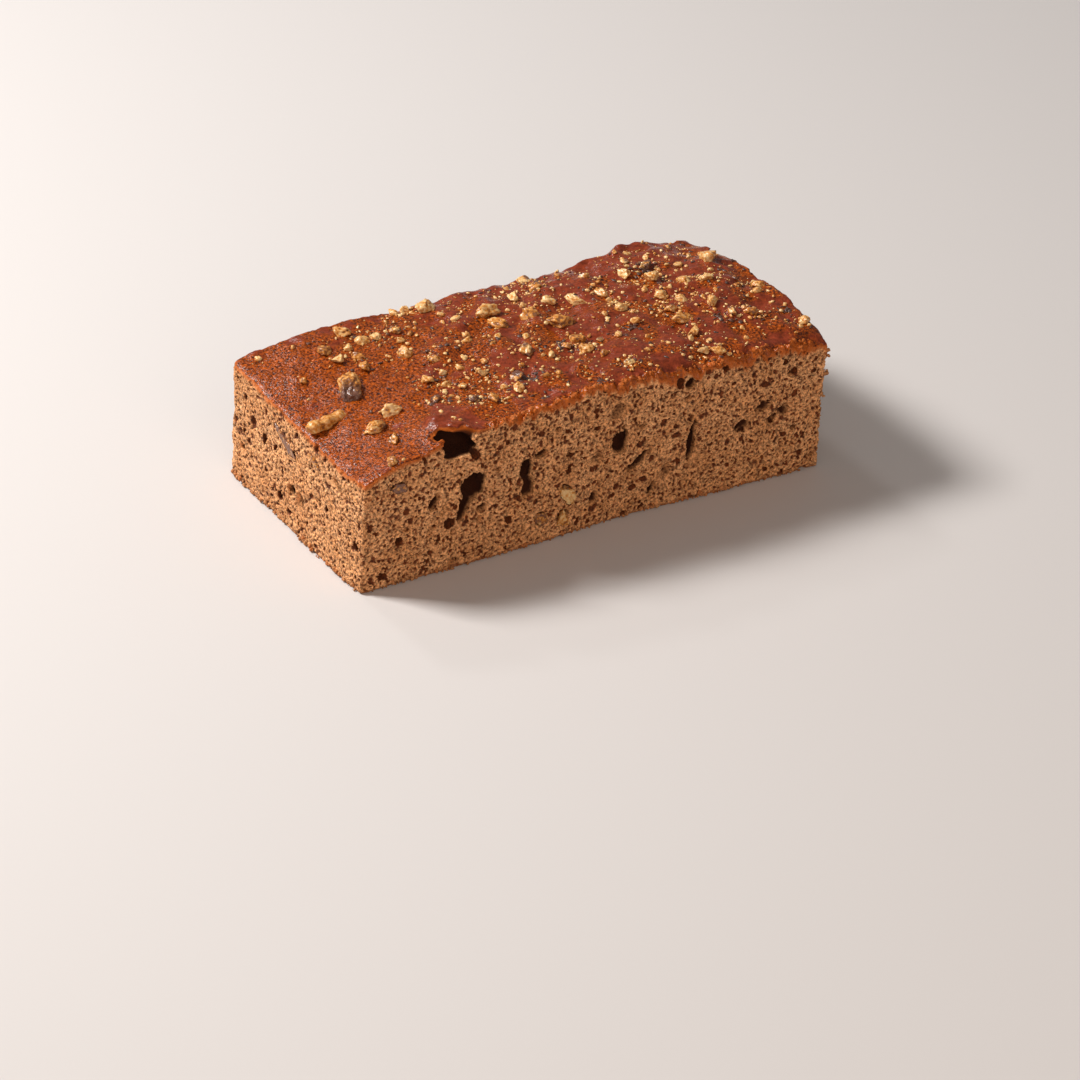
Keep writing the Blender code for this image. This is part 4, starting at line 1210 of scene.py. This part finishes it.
def chunk(detail, rng, facets):
    """An irregular broken chunk in a box from -0.5 to 0.5: points, triangles, skin and painted shade in
    its furrows.
    """
    directions, faces = ball(detail)
    sides = rng.normal(size=(facets, 3))
    sides /= np.linalg.norm(sides, axis=1)[:, None]
    facing = directions @ sides.T
    heights = rng.uniform(0.42, 0.85, facets)
    reach = np.where(facing > 0.05, heights / np.maximum(facing, 0.05), 9).min(axis=1)
    points = directions * np.minimum(reach, 1)[:, None]
    start = rng.uniform(-50, 50, 3)
    uneven = 0.20 * noise_at(points, 0.60, start)
    furrow_shade = np.zeros(len(points))
    skin = np.zeros(len(points))
    if detail > 2:
        folds = noise_at(points, 0.30, start)
        # Painted shade: the sunken folds get a furrow shade that darkens the flesh.
        furrow_shade = smooth_step(0.10, -0.35, folds)
        uneven += 0.16 * folds + 0.08 * noise_at(points, 0.12, start)
        skin = noise_at(points, 0.9, start + 9)
    points = points * (1 + uneven)[:, None]
    low, high = points.min(axis=0), points.max(axis=0)
    return (points - low) / (high - low) - 0.5, faces, skin, furrow_shade


def lobed_chunk(detail, rng, lobes):
    """A long chunk with a row of lobes and blunt ends, in a box from -0.5 to 0.5."""
    points, faces = ball(detail)
    points = np.sign(points) * np.abs(points) ** 0.75
    start = rng.uniform(-50, 50, 3)
    wave = np.cos(2 * math.pi * lobes * points[:, 0] / 2 + 1.0)
    folds = noise_at(points * (2.5, 1, 1), 0.60, start)
    sides = 1 + 0.13 * wave + 0.15 * folds
    points = points * np.stack([1 + 0.08 * folds, sides, sides], axis=1)
    points[:, 1] += 0.22 * np.sin(points[:, 0] * 2.6)
    low, high = points.min(axis=0), points.max(axis=0)
    # Painted shade: the necks between the lobes and the sunken folds get a furrow shade that darkens the
    # flesh.
    furrow_shade = 0.8 * smooth_step(-0.35, -1.2, wave + 0.8 * folds)
    return (points - low) / (high - low) - 0.5, faces, noise_at(points, 0.9, start + 9), furrow_shade


def turned(points, size, turn, place, tilt=0.0):
    """Chunk points at their size, turned about the upright and set down at a place."""
    turning = Matrix.Rotation(math.radians(turn), 3, "Z") @ Matrix.Rotation(tilt, 3, "X")
    return (points * size) @ np.array(turning).T + np.asarray(place)


def joined_chunks(name, chunks, material, slot, *nodes):
    """One piece out of many chunks: (points, triangles, flat layout, tone with any painted furrow shade,
    skin) each.
    """
    across = math.ceil(math.sqrt(len(chunks)))
    points, faces, flat, tones, skins = [], [], [], [], []
    start = 0
    for number, (places, triangles, layout, tone, skin) in enumerate(chunks):
        points.append(places)
        faces.append(triangles + start)
        start += len(places)
        tile = np.array((number % across, number // across))
        low, high = layout.min(axis=0), layout.max(axis=0)
        flat.append(tile + 0.04 + 0.92 * (layout - low) / (high - low))
        tones.append(np.broadcast_to(tone, len(places)))
        skins.append(skin)
    mesh = mesh_from_arrays(name, np.concatenate(points), np.concatenate(faces))
    add_values(mesh, "tone", np.concatenate(tones))
    add_values(mesh, "skin", np.concatenate(skins))
    add_bake_map(mesh, np.concatenate(flat))
    add_piece(name, mesh, material, slot, *nodes)


def found_material(name, make, *settings):
    """The material of that name, made on its first use."""
    return bpy.data.materials.get(name) or make(name, *settings)


CRUMB_NAME = "Pound cake crumb, baked and cut"
CRUST_NAME = "Pound cake crust, browned"
WALNUT_NAME = "Walnut, chopped and baked"
SKIN_NAME = "Walnut skin, flaked"


class CAKE_OT_grow_loaf(bpy.types.Operator):
    """Grow the bar: crust, four cut faces and base"""

    bl_idname = "cake.grow_loaf"
    bl_label = "Grow loaf"

    def execute(self, context):
        crumb = context.scene.cake_crumb
        crust = context.scene.cake_crust
        bar = the_bar()
        field = bar.field()
        open_large_bubbles(field, bar)
        smooth = field.copy()
        rng = np.random.default_rng(SEED + 2)
        roughen_bubbles(field, bar, crumb.pore, rng)
        for face in FACE_DIRECTIONS:
            open_pores(field, bar, face, crumb.pore, crumb.pore_spacing, rng)
        points, faces = surface_net(field, bar.axes)
        faces = largest_body(points, faces)
        points, faces = fewer_faces(points, faces, crumb.kept_share)
        self.split(points, faces, -value_at(smooth, bar, points) / MM, bar, crumb, crust)
        return {"FINISHED"}

    def split(self, points, faces, pores, bar, crumb, crust):
        """Makes one piece of the faces that lie nearest each surface of the bar."""
        middles = points[faces].mean(axis=1)
        depths = bar.depths(middles)
        sides = ("crust", "front", "back", "left", "right", "base")
        nearest = np.argmin([depths[side] for side in sides], axis=0)
        flat = {"crust": (0, 1), "base": (0, 1), "front": (0, 2), "back": (0, 2),
                "left": (1, 2), "right": (1, 2)}
        for number, side in enumerate(sides):
            picked = faces[nearest == number]
            used, corners = np.unique(picked, return_inverse=True)
            own = points[used]
            mesh = mesh_from_arrays("loaf_" + side, own, corners.reshape(-1, 3))
            depth = {name: value / MM for name, value in bar.depths(own).items()}
            add_values(mesh, "crust_depth", depth["crust"])
            add_values(mesh, "base_depth", depth["base"])
            pit = np.min([depth[name] for name in ("front", "back", "left", "right")], axis=0)
            add_values(mesh, "pit_depth", np.maximum(pit, 0) if side != "base" else np.zeros(len(own)))
            add_values(mesh, "pore_depth", np.maximum(pores[used], 0))
            add_values(mesh, "brown", bar.brown_at(own[:, 0], own[:, 1]))
            add_bake_map(mesh, own[:, flat[side]])
            if side == "crust":
                material = found_material(CRUST_NAME, crust_material, crumb, crust)
            else:
                material = found_material(CRUMB_NAME, crumb_material, crumb, crust)
            add_piece("loaf_" + side, mesh, material, "crust" if side == "crust" else "crumb", "loaf")
            if len(picked) > LARGEST_PIECE:
                raise ValueError(f"loaf_{side} has {len(picked)} triangles")


class CAKE_OT_press_walnut(bpy.types.Operator):
    """Press the large pieces of walnut into the crust"""

    bl_idname = "cake.press_walnut"
    bl_label = "Press walnut"

    def execute(self, context):
        bar = the_bar()
        material = found_material(WALNUT_NAME, walnut_material, context.scene.cake_walnut)
        for number, (node, (size, tone, skinned)) in enumerate(TOP_WALNUTS.items()):
            x, y, length, width, height, turn = size
            rng = np.random.default_rng(SEED + 100 + number)
            if length > 3 * width:
                points, faces, skin, furrow_shade = lobed_chunk(5, rng, STRIP_LOBES)
            else:
                points, faces, skin, furrow_shade = chunk(5 if length > LARGE_NUT else 4, rng, 9)
            place = (x, y, float(bar.crust_at(x, y)) + height * (0.5 - SUNK_SHARE))
            placed = turned(points, (length, width, height), turn, place)
            cover = 0.7 * skin + 1.5 * skinned - 0.75 + 1.6 * SKINNED_ENDS.get(node, 0) * points[:, 0]
            # The tone carries the furrows' painted shade.
            joined_chunks("nut_" + node.removeprefix("walnut_"),
                          [(placed, faces, points[:, :2], tone + 0.6 * furrow_shade, cover)],
                          material, "walnut", node)
        return {"FINISHED"}


class CAKE_OT_slice_walnut(bpy.types.Operator):
    """Set the slices of walnut that the knife opened in the cut faces"""

    bl_idname = "cake.slice_walnut"
    bl_label = "Slice walnut"

    def execute(self, context):
        bar = the_bar()
        material = found_material(WALNUT_NAME, walnut_material, context.scene.cake_walnut)
        for number, (node, (face, size, tone, skinned)) in enumerate(SLICES.items()):
            along, height, width, tallness, depth, lean = size
            rng = np.random.default_rng(SEED + 200 + number)
            points, faces, _, furrow_shade = chunk(4, rng, 6)
            points = points * (width, 2 * depth, tallness)
            points[:, 1] = np.maximum(points[:, 1], -PROUD + 0.2 * MM * noise_at(points, 1 * MM))
            inner = (points[:, 1] + PROUD) / (depth + PROUD)
            cut = points[inner < 0.15]
            span = cut.max(axis=0) - cut.min(axis=0)
            points[:, 0] *= min(width / span[0], WIDEST_SLICE)
            points[:, 2] *= min(tallness / span[2], WIDEST_SLICE)
            cover = 0.4 * smooth_step(0.02, 0.25, inner) + skinned - 0.1
            cover += 0.5 * noise_at(points, 1.1 * MM)
            turn = np.array(face_turn(face, lean))
            placed = points @ turn.T + np.array(bar.on_face(face, along, height))
            # The tone carries the furrows' painted shade.
            joined_chunks("nut_" + node.removeprefix("walnut_"),
                          [(placed, faces, points[:, (0, 2)], tone + 0.5 * furrow_shade, cover)],
                          material, "walnut", node)
        return {"FINISHED"}


class CAKE_OT_chop_walnut(bpy.types.Operator):
    """Lay the chopped walnut that is fused to the loaf's solid"""

    bl_idname = "cake.chop_walnut"
    bl_label = "Chop walnut"

    def execute(self, context):
        bar = the_bar()
        rng = np.random.default_rng(SEED + 3)
        chunks = []
        for x, y, length, width, height, turn in chosen_places()[2]:
            points, faces, skin, furrow_shade = chunk(4 if length > LARGE_CHIP else 3, rng, 7)
            place = (x, y, float(bar.crust_at(x, y)) + height * CHIP_LIFT)
            placed = turned(points, (length, width, height), turn, place, rng.uniform(-0.25, 0.25))
            skinned = min(math.hypot(x - dark_x, y - dark_y) for dark_x, dark_y in SKINNED_CHIPS) < MM
            bias = 0.75 if skinned else rng.choice((-0.5, -0.1, 0.3), p=(0.52, 0.30, 0.18))
            # A random roast, with the furrows' painted shade added.
            tone = rng.beta(0.9, 1.3) + 0.5 * furrow_shade
            chunks.append((placed, faces, points[:, :2], tone, skin + bias))
        material = found_material(WALNUT_NAME, walnut_material, context.scene.cake_walnut)
        joined_chunks("walnut_chopped", chunks, material, "walnut", "loaf")
        return {"FINISHED"}


def torn_away(x, y, bar):
    """Whether the crust at a place went with the cavity's mouth."""
    z = float(bar.crust_at(x, y))
    for middle_x, middle_y, middle_z, wide, deep, tall in CAVITY_MOUTH:
        away = math.hypot((x - middle_x) / wide, (y - middle_y) / deep, (z - middle_z) / tall)
        if away < MOUTH_CLEARANCE:
            return True
    return False


def strewn(count, rng, near):
    """Places on the crust, few at the left, most close to the chips: x and y."""
    places = []
    while len(places) < count:
        if rng.random() < near:
            chip = CHOPPED[rng.integers(len(CHOPPED))]
            angle = rng.uniform(0, 2 * math.pi)
            away = chip[2] * (0.55 + rng.exponential(0.35))
            x, y = chip[0] + away * math.cos(angle), chip[1] + away * math.sin(angle)
        else:
            x = rng.uniform(LEFT_FACE, RIGHT_FACE)
            y = rng.uniform(FRONT_FACE, BACK_FACE)
        density = 0.08 + 0.92 * float(smooth_step(-0.075, -0.010, x))
        on_crust = (LEFT_FACE + 2 * MM < x < RIGHT_FACE - 2 * MM
                    and FRONT_FACE + MM < y < BACK_FACE - 2 * MM)
        if not on_crust:
            continue
        if rng.random() < density:
            places.append((x, y))
    return [place for place in places if not torn_away(*place, the_bar())]


class CAKE_OT_strew_crumbs(bpy.types.Operator):
    """Strew walnut crumbs and grains over the crust"""

    bl_idname = "cake.strew_crumbs"
    bl_label = "Strew crumbs"

    def execute(self, context):
        walnut = context.scene.cake_walnut
        bar = the_bar()
        rng = np.random.default_rng(SEED + 4)
        material = found_material(WALNUT_NAME, walnut_material, walnut)
        kinds = (("walnut_crumbs", walnut.crumbs, 2, (1.0 * MM, 2.0 * MM), 0.55),
                 ("walnut_dust", walnut.dust, 2, (0.35 * MM, 0.9 * MM), 0.40))
        for name, count, detail, lengths, near in kinds:
            chunks = []
            for x, y in strewn(count, rng, near):
                points, faces, skin, _ = chunk(detail, rng, 5)
                length = rng.uniform(*lengths)
                size = length * np.array((1, rng.uniform(0.4, 0.9), rng.uniform(0.35, 0.75)))
                place = (x, y, float(bar.crust_at(x, y)) + size[2] * 0.22)
                placed = turned(points, size, rng.uniform(0, 360), place, rng.uniform(-0.4, 0.4))
                skinned = 0.9 if rng.random() < 0.07 else -0.4
                tone = rng.beta(0.9, 1.3)
                chunks.append((placed, faces, points[:, :2], tone, skin + skinned))
            joined_chunks(name, chunks, material, "walnut")
        return {"FINISHED"}


class CAKE_OT_flake_skin(bpy.types.Operator):
    """Strew dark flakes of walnut skin over the crust"""

    bl_idname = "cake.flake_skin"
    bl_label = "Flake skin"

    def execute(self, context):
        walnut = context.scene.cake_walnut
        bar = the_bar()
        rng = np.random.default_rng(SEED + 5)
        chunks = []
        places = strewn(walnut.flecks, rng, 0.35)
        for x, y, reach, count in DARK_PLACES:
            shifts = reach * rng.normal(0, 0.6, (count, 2))
            places += [(x + along, y + back) for along, back in shifts]
        for x, y in places:
            points, faces, skin, _ = chunk(2, rng, 5)
            size = rng.uniform(0.7, 2.4) * MM * np.array((1, rng.uniform(0.35, 0.8), 0.28))
            place = (x, y, float(bar.crust_at(x, y)) + 0.08 * MM)
            placed = turned(points, size, rng.uniform(0, 360), place, rng.uniform(-0.3, 0.3))
            chunks.append((placed, faces, points[:, :2], 0.5, skin))
        material = found_material(SKIN_NAME, skin_material, walnut)
        joined_chunks("walnut_skin", chunks, material, "walnut")
        return {"FINISHED"}


def loose_crumb_material(name, crumb, crust):
    """Crumbs torn off the crust and the crumb: dry and matt, from orange to pale."""
    made, tree, shader = new_material(name)
    place = add_node(tree, "TexCoord").outputs["Object"]
    tone = add_node(tree, "Attribute", {"attribute_name": "tone"}).outputs["Fac"]
    colour = add_node(tree, "MixRGB", None, {"Fac": tone, "Color1": linear(crumb.colour),
                                             "Color2": linear(crust.torn_colour)})
    grain = add_node(tree, "TexNoise", None, {"Vector": place, "Scale": 1 / (0.6 * MM), "Detail": 3})
    speck = add_node(tree, "MapRange", None, {"Value": grain.outputs["Fac"], "From Min": 0.35,
                                              "From Max": 0.65, "To Min": 0.45, "To Max": 1.15})
    specked = add_node(tree, "MixRGB", {"blend_type": "MULTIPLY"},
                       {"Fac": 1, "Color1": colour.outputs["Color"], "Color2": speck.outputs["Result"]})
    tree.links.new(specked.outputs["Color"], shader.inputs["Base Color"])
    shader.inputs["Roughness"].default_value = 0.7
    shader.inputs["Specular IOR Level"].default_value = 0.2
    bump = add_node(tree, "Bump", None, {"Strength": 0.8, "Distance": 0.2 * MM,
                                         "Height": grain.outputs["Fac"]})
    tree.links.new(bump.outputs["Normal"], shader.inputs["Normal"])
    return made


class CAKE_OT_tear_crust(bpy.types.Operator):
    """Hang crumbs on the torn edge of the crust and at the cut corners"""

    bl_idname = "cake.tear_crust"
    bl_label = "Tear crust"

    def execute(self, context):
        bar = the_bar()
        rng = np.random.default_rng(SEED + 6)
        chunks = []
        clusters = rng.uniform(TORN_FROM, TORN_TO, TORN_CLUSTERS)
        for _ in range(TORN_CRUMBS):
            x = float(rng.choice(clusters)) + rng.normal(0, 1.6) * MM
            y = FRONT_FACE + rng.uniform(0.3, 3.4) * MM
            points, faces, skin, _ = chunk(2, rng, 6)
            size = (0.6 + 2.9 * rng.random() ** 2) * MM * rng.uniform(0.5, 1, 3)
            place = (x, y, float(bar.crust_at(x, y)) - 0.25 * max(size))
            placed = turned(points, size, rng.uniform(0, 360), place, rng.uniform(-0.5, 0.5))
            chunks.append((placed, faces, points[:, :2], rng.uniform(0.85, 1), skin))
        for _ in range(BASE_CRUMBS):
            face = ("front", "left", "right", "back")[int(rng.choice(4, p=(0.34, 0.16, 0.16, 0.34)))]
            length = (0.6 + 2.0 * rng.random() ** 2) * MM
            along = 0.95 * rng.uniform(*FACE_REACH[face])
            place = bar.on_face(face, along, length * rng.uniform(0.45, 0.8))
            points, faces, skin, _ = chunk(2, rng, 6)
            placed = turned(points, length * rng.uniform(0.6, 1, 3), rng.uniform(0, 360), place)
            placed[:, 2] = np.maximum(placed[:, 2], 0)
            chunks.append((placed, faces, points[:, :2], rng.uniform(0.1, 0.6), skin))
        for x, y, z, length in END_CRUMBS:
            for _ in range(END_CLUSTER):
                points, faces, skin, _ = chunk(3, rng, 6)
                place = np.array((x, y, z)) + rng.uniform(-0.4, 0.4, 3) * length
                placed = turned(points, length * rng.uniform(0.3, 0.75, 3), rng.uniform(0, 360), place)
                chunks.append((placed, faces, points[:, :2], rng.uniform(0.1, 0.6), skin))
        material = found_material("Crumbs, torn", loose_crumb_material,
                                  context.scene.cake_crumb, context.scene.cake_crust)
        joined_chunks("loaf_torn_crumbs", chunks, material, "crumb", "loaf")
        return {"FINISHED"}


def floor_material(name, stage):
    """A plain painted floor, matt."""
    made, _, shader = new_material(name)
    shader.inputs["Base Color"].default_value = linear(stage.floor_colour)
    shader.inputs["Roughness"].default_value = 0.75
    return made


class CAKE_OT_set_stage(bpy.types.Operator):
    """Set the floor, the lights and the camera"""

    bl_idname = "cake.set_stage"
    bl_label = "Set stage"

    def execute(self, context):
        stage = context.scene.cake_stage
        scene = context.scene
        mesh = bpy.data.meshes.new("floor")
        bm = bmesh.new()
        bmesh.ops.create_grid(bm, x_segments=1, y_segments=1, size=FLOOR_REACH)
        bm.to_mesh(mesh)
        bm.free()
        mesh.materials.append(found_material("Floor paint, matt", floor_material, stage))
        floor = bpy.data.objects.new("floor", mesh)
        scene.collection.objects.link(floor)
        # Name, place, size, power and colour
        lights = (
            ("key", (-0.85, 0.70, 1.05), 0.38, stage.key_power, (1, 0.98, 0.95)),
            ("fill", (-0.35, -1.35, 0.80), 1.2, stage.fill_power, (1, 0.80, 0.64)),
            ("rear", (-0.15, 1.10, 0.95), 0.14, stage.fill_power * 0.25, (1, 1, 1)),
        )
        for name, place, size, power, colour in lights:
            light = bpy.data.lights.new(name, "AREA")
            light.size = size
            light.energy = power
            light.color = colour
            lamp = bpy.data.objects.new(name, light)
            lamp.location = place
            lamp.rotation_euler = (-Vector(place)).to_track_quat("-Z", "Y").to_euler()
            scene.collection.objects.link(lamp)
        world = bpy.data.worlds.new("studio")
        world.use_nodes = True
        world.node_tree.nodes["Background"].inputs["Color"].default_value = (1, 1, 1, 1)
        world.node_tree.nodes["Background"].inputs["Strength"].default_value = ROOM_LIGHT
        scene.world = world
        scene.view_settings.view_transform = "Standard"
        camera = bpy.data.cameras.new("camera")
        camera.lens = CAMERA_LENS
        camera.sensor_width = CAMERA_SENSOR
        viewer = bpy.data.objects.new("camera", camera)
        turns = [Matrix.Rotation(math.radians(angle), 4, axis)
                 for angle, axis in ((CAMERA_YAW, "Z"), (CAMERA_PITCH, "X"), (CAMERA_ROLL, "Z"))]
        viewer.matrix_world = Matrix.Translation(CAMERA_AT) @ turns[0] @ turns[1] @ turns[2]
        scene.collection.objects.link(viewer)
        scene.camera = viewer
        return {"FINISHED"}


STEPS = (CAKE_OT_grow_loaf, CAKE_OT_press_walnut, CAKE_OT_slice_walnut, CAKE_OT_chop_walnut,
         CAKE_OT_strew_crumbs, CAKE_OT_flake_skin, CAKE_OT_tear_crust, CAKE_OT_set_stage)
SETTINGS = {"cake_crumb": CrumbSettings, "cake_crust": CrustSettings,
            "cake_walnut": WalnutSettings, "cake_stage": StageSettings}


class CAKE_PT_panel(bpy.types.Panel):
    """The cake's steps and settings"""

    bl_idname = "CAKE_PT_panel"
    bl_label = "Pound cake loaf"
    bl_space_type = "VIEW_3D"
    bl_region_type = "UI"
    bl_category = "Cake"

    def draw(self, context):
        for name, group in SETTINGS.items():
            box = self.layout.box()
            for setting in group.__annotations__:
                box.prop(getattr(context.scene, name), setting)
        for step in STEPS:
            self.layout.operator(step.bl_idname)


def register():
    for made in (*SETTINGS.values(), *STEPS, CAKE_PT_panel):
        bpy.utils.register_class(made)
    for name, group in SETTINGS.items():
        setattr(bpy.types.Scene, name, bpy.props.PointerProperty(type=group))


def unregister():
    for name in SETTINGS:
        delattr(bpy.types.Scene, name)
    for made in reversed((*SETTINGS.values(), *STEPS, CAKE_PT_panel)):
        bpy.utils.unregister_class(made)


def main():
    register()
    bpy.ops.cake.grow_loaf()
    bpy.ops.cake.press_walnut()
    bpy.ops.cake.slice_walnut()
    bpy.ops.cake.chop_walnut()
    bpy.ops.cake.strew_crumbs()
    bpy.ops.cake.flake_skin()
    bpy.ops.cake.tear_crust()
    bpy.ops.cake.set_stage()


if __name__ == "__main__":
    main()
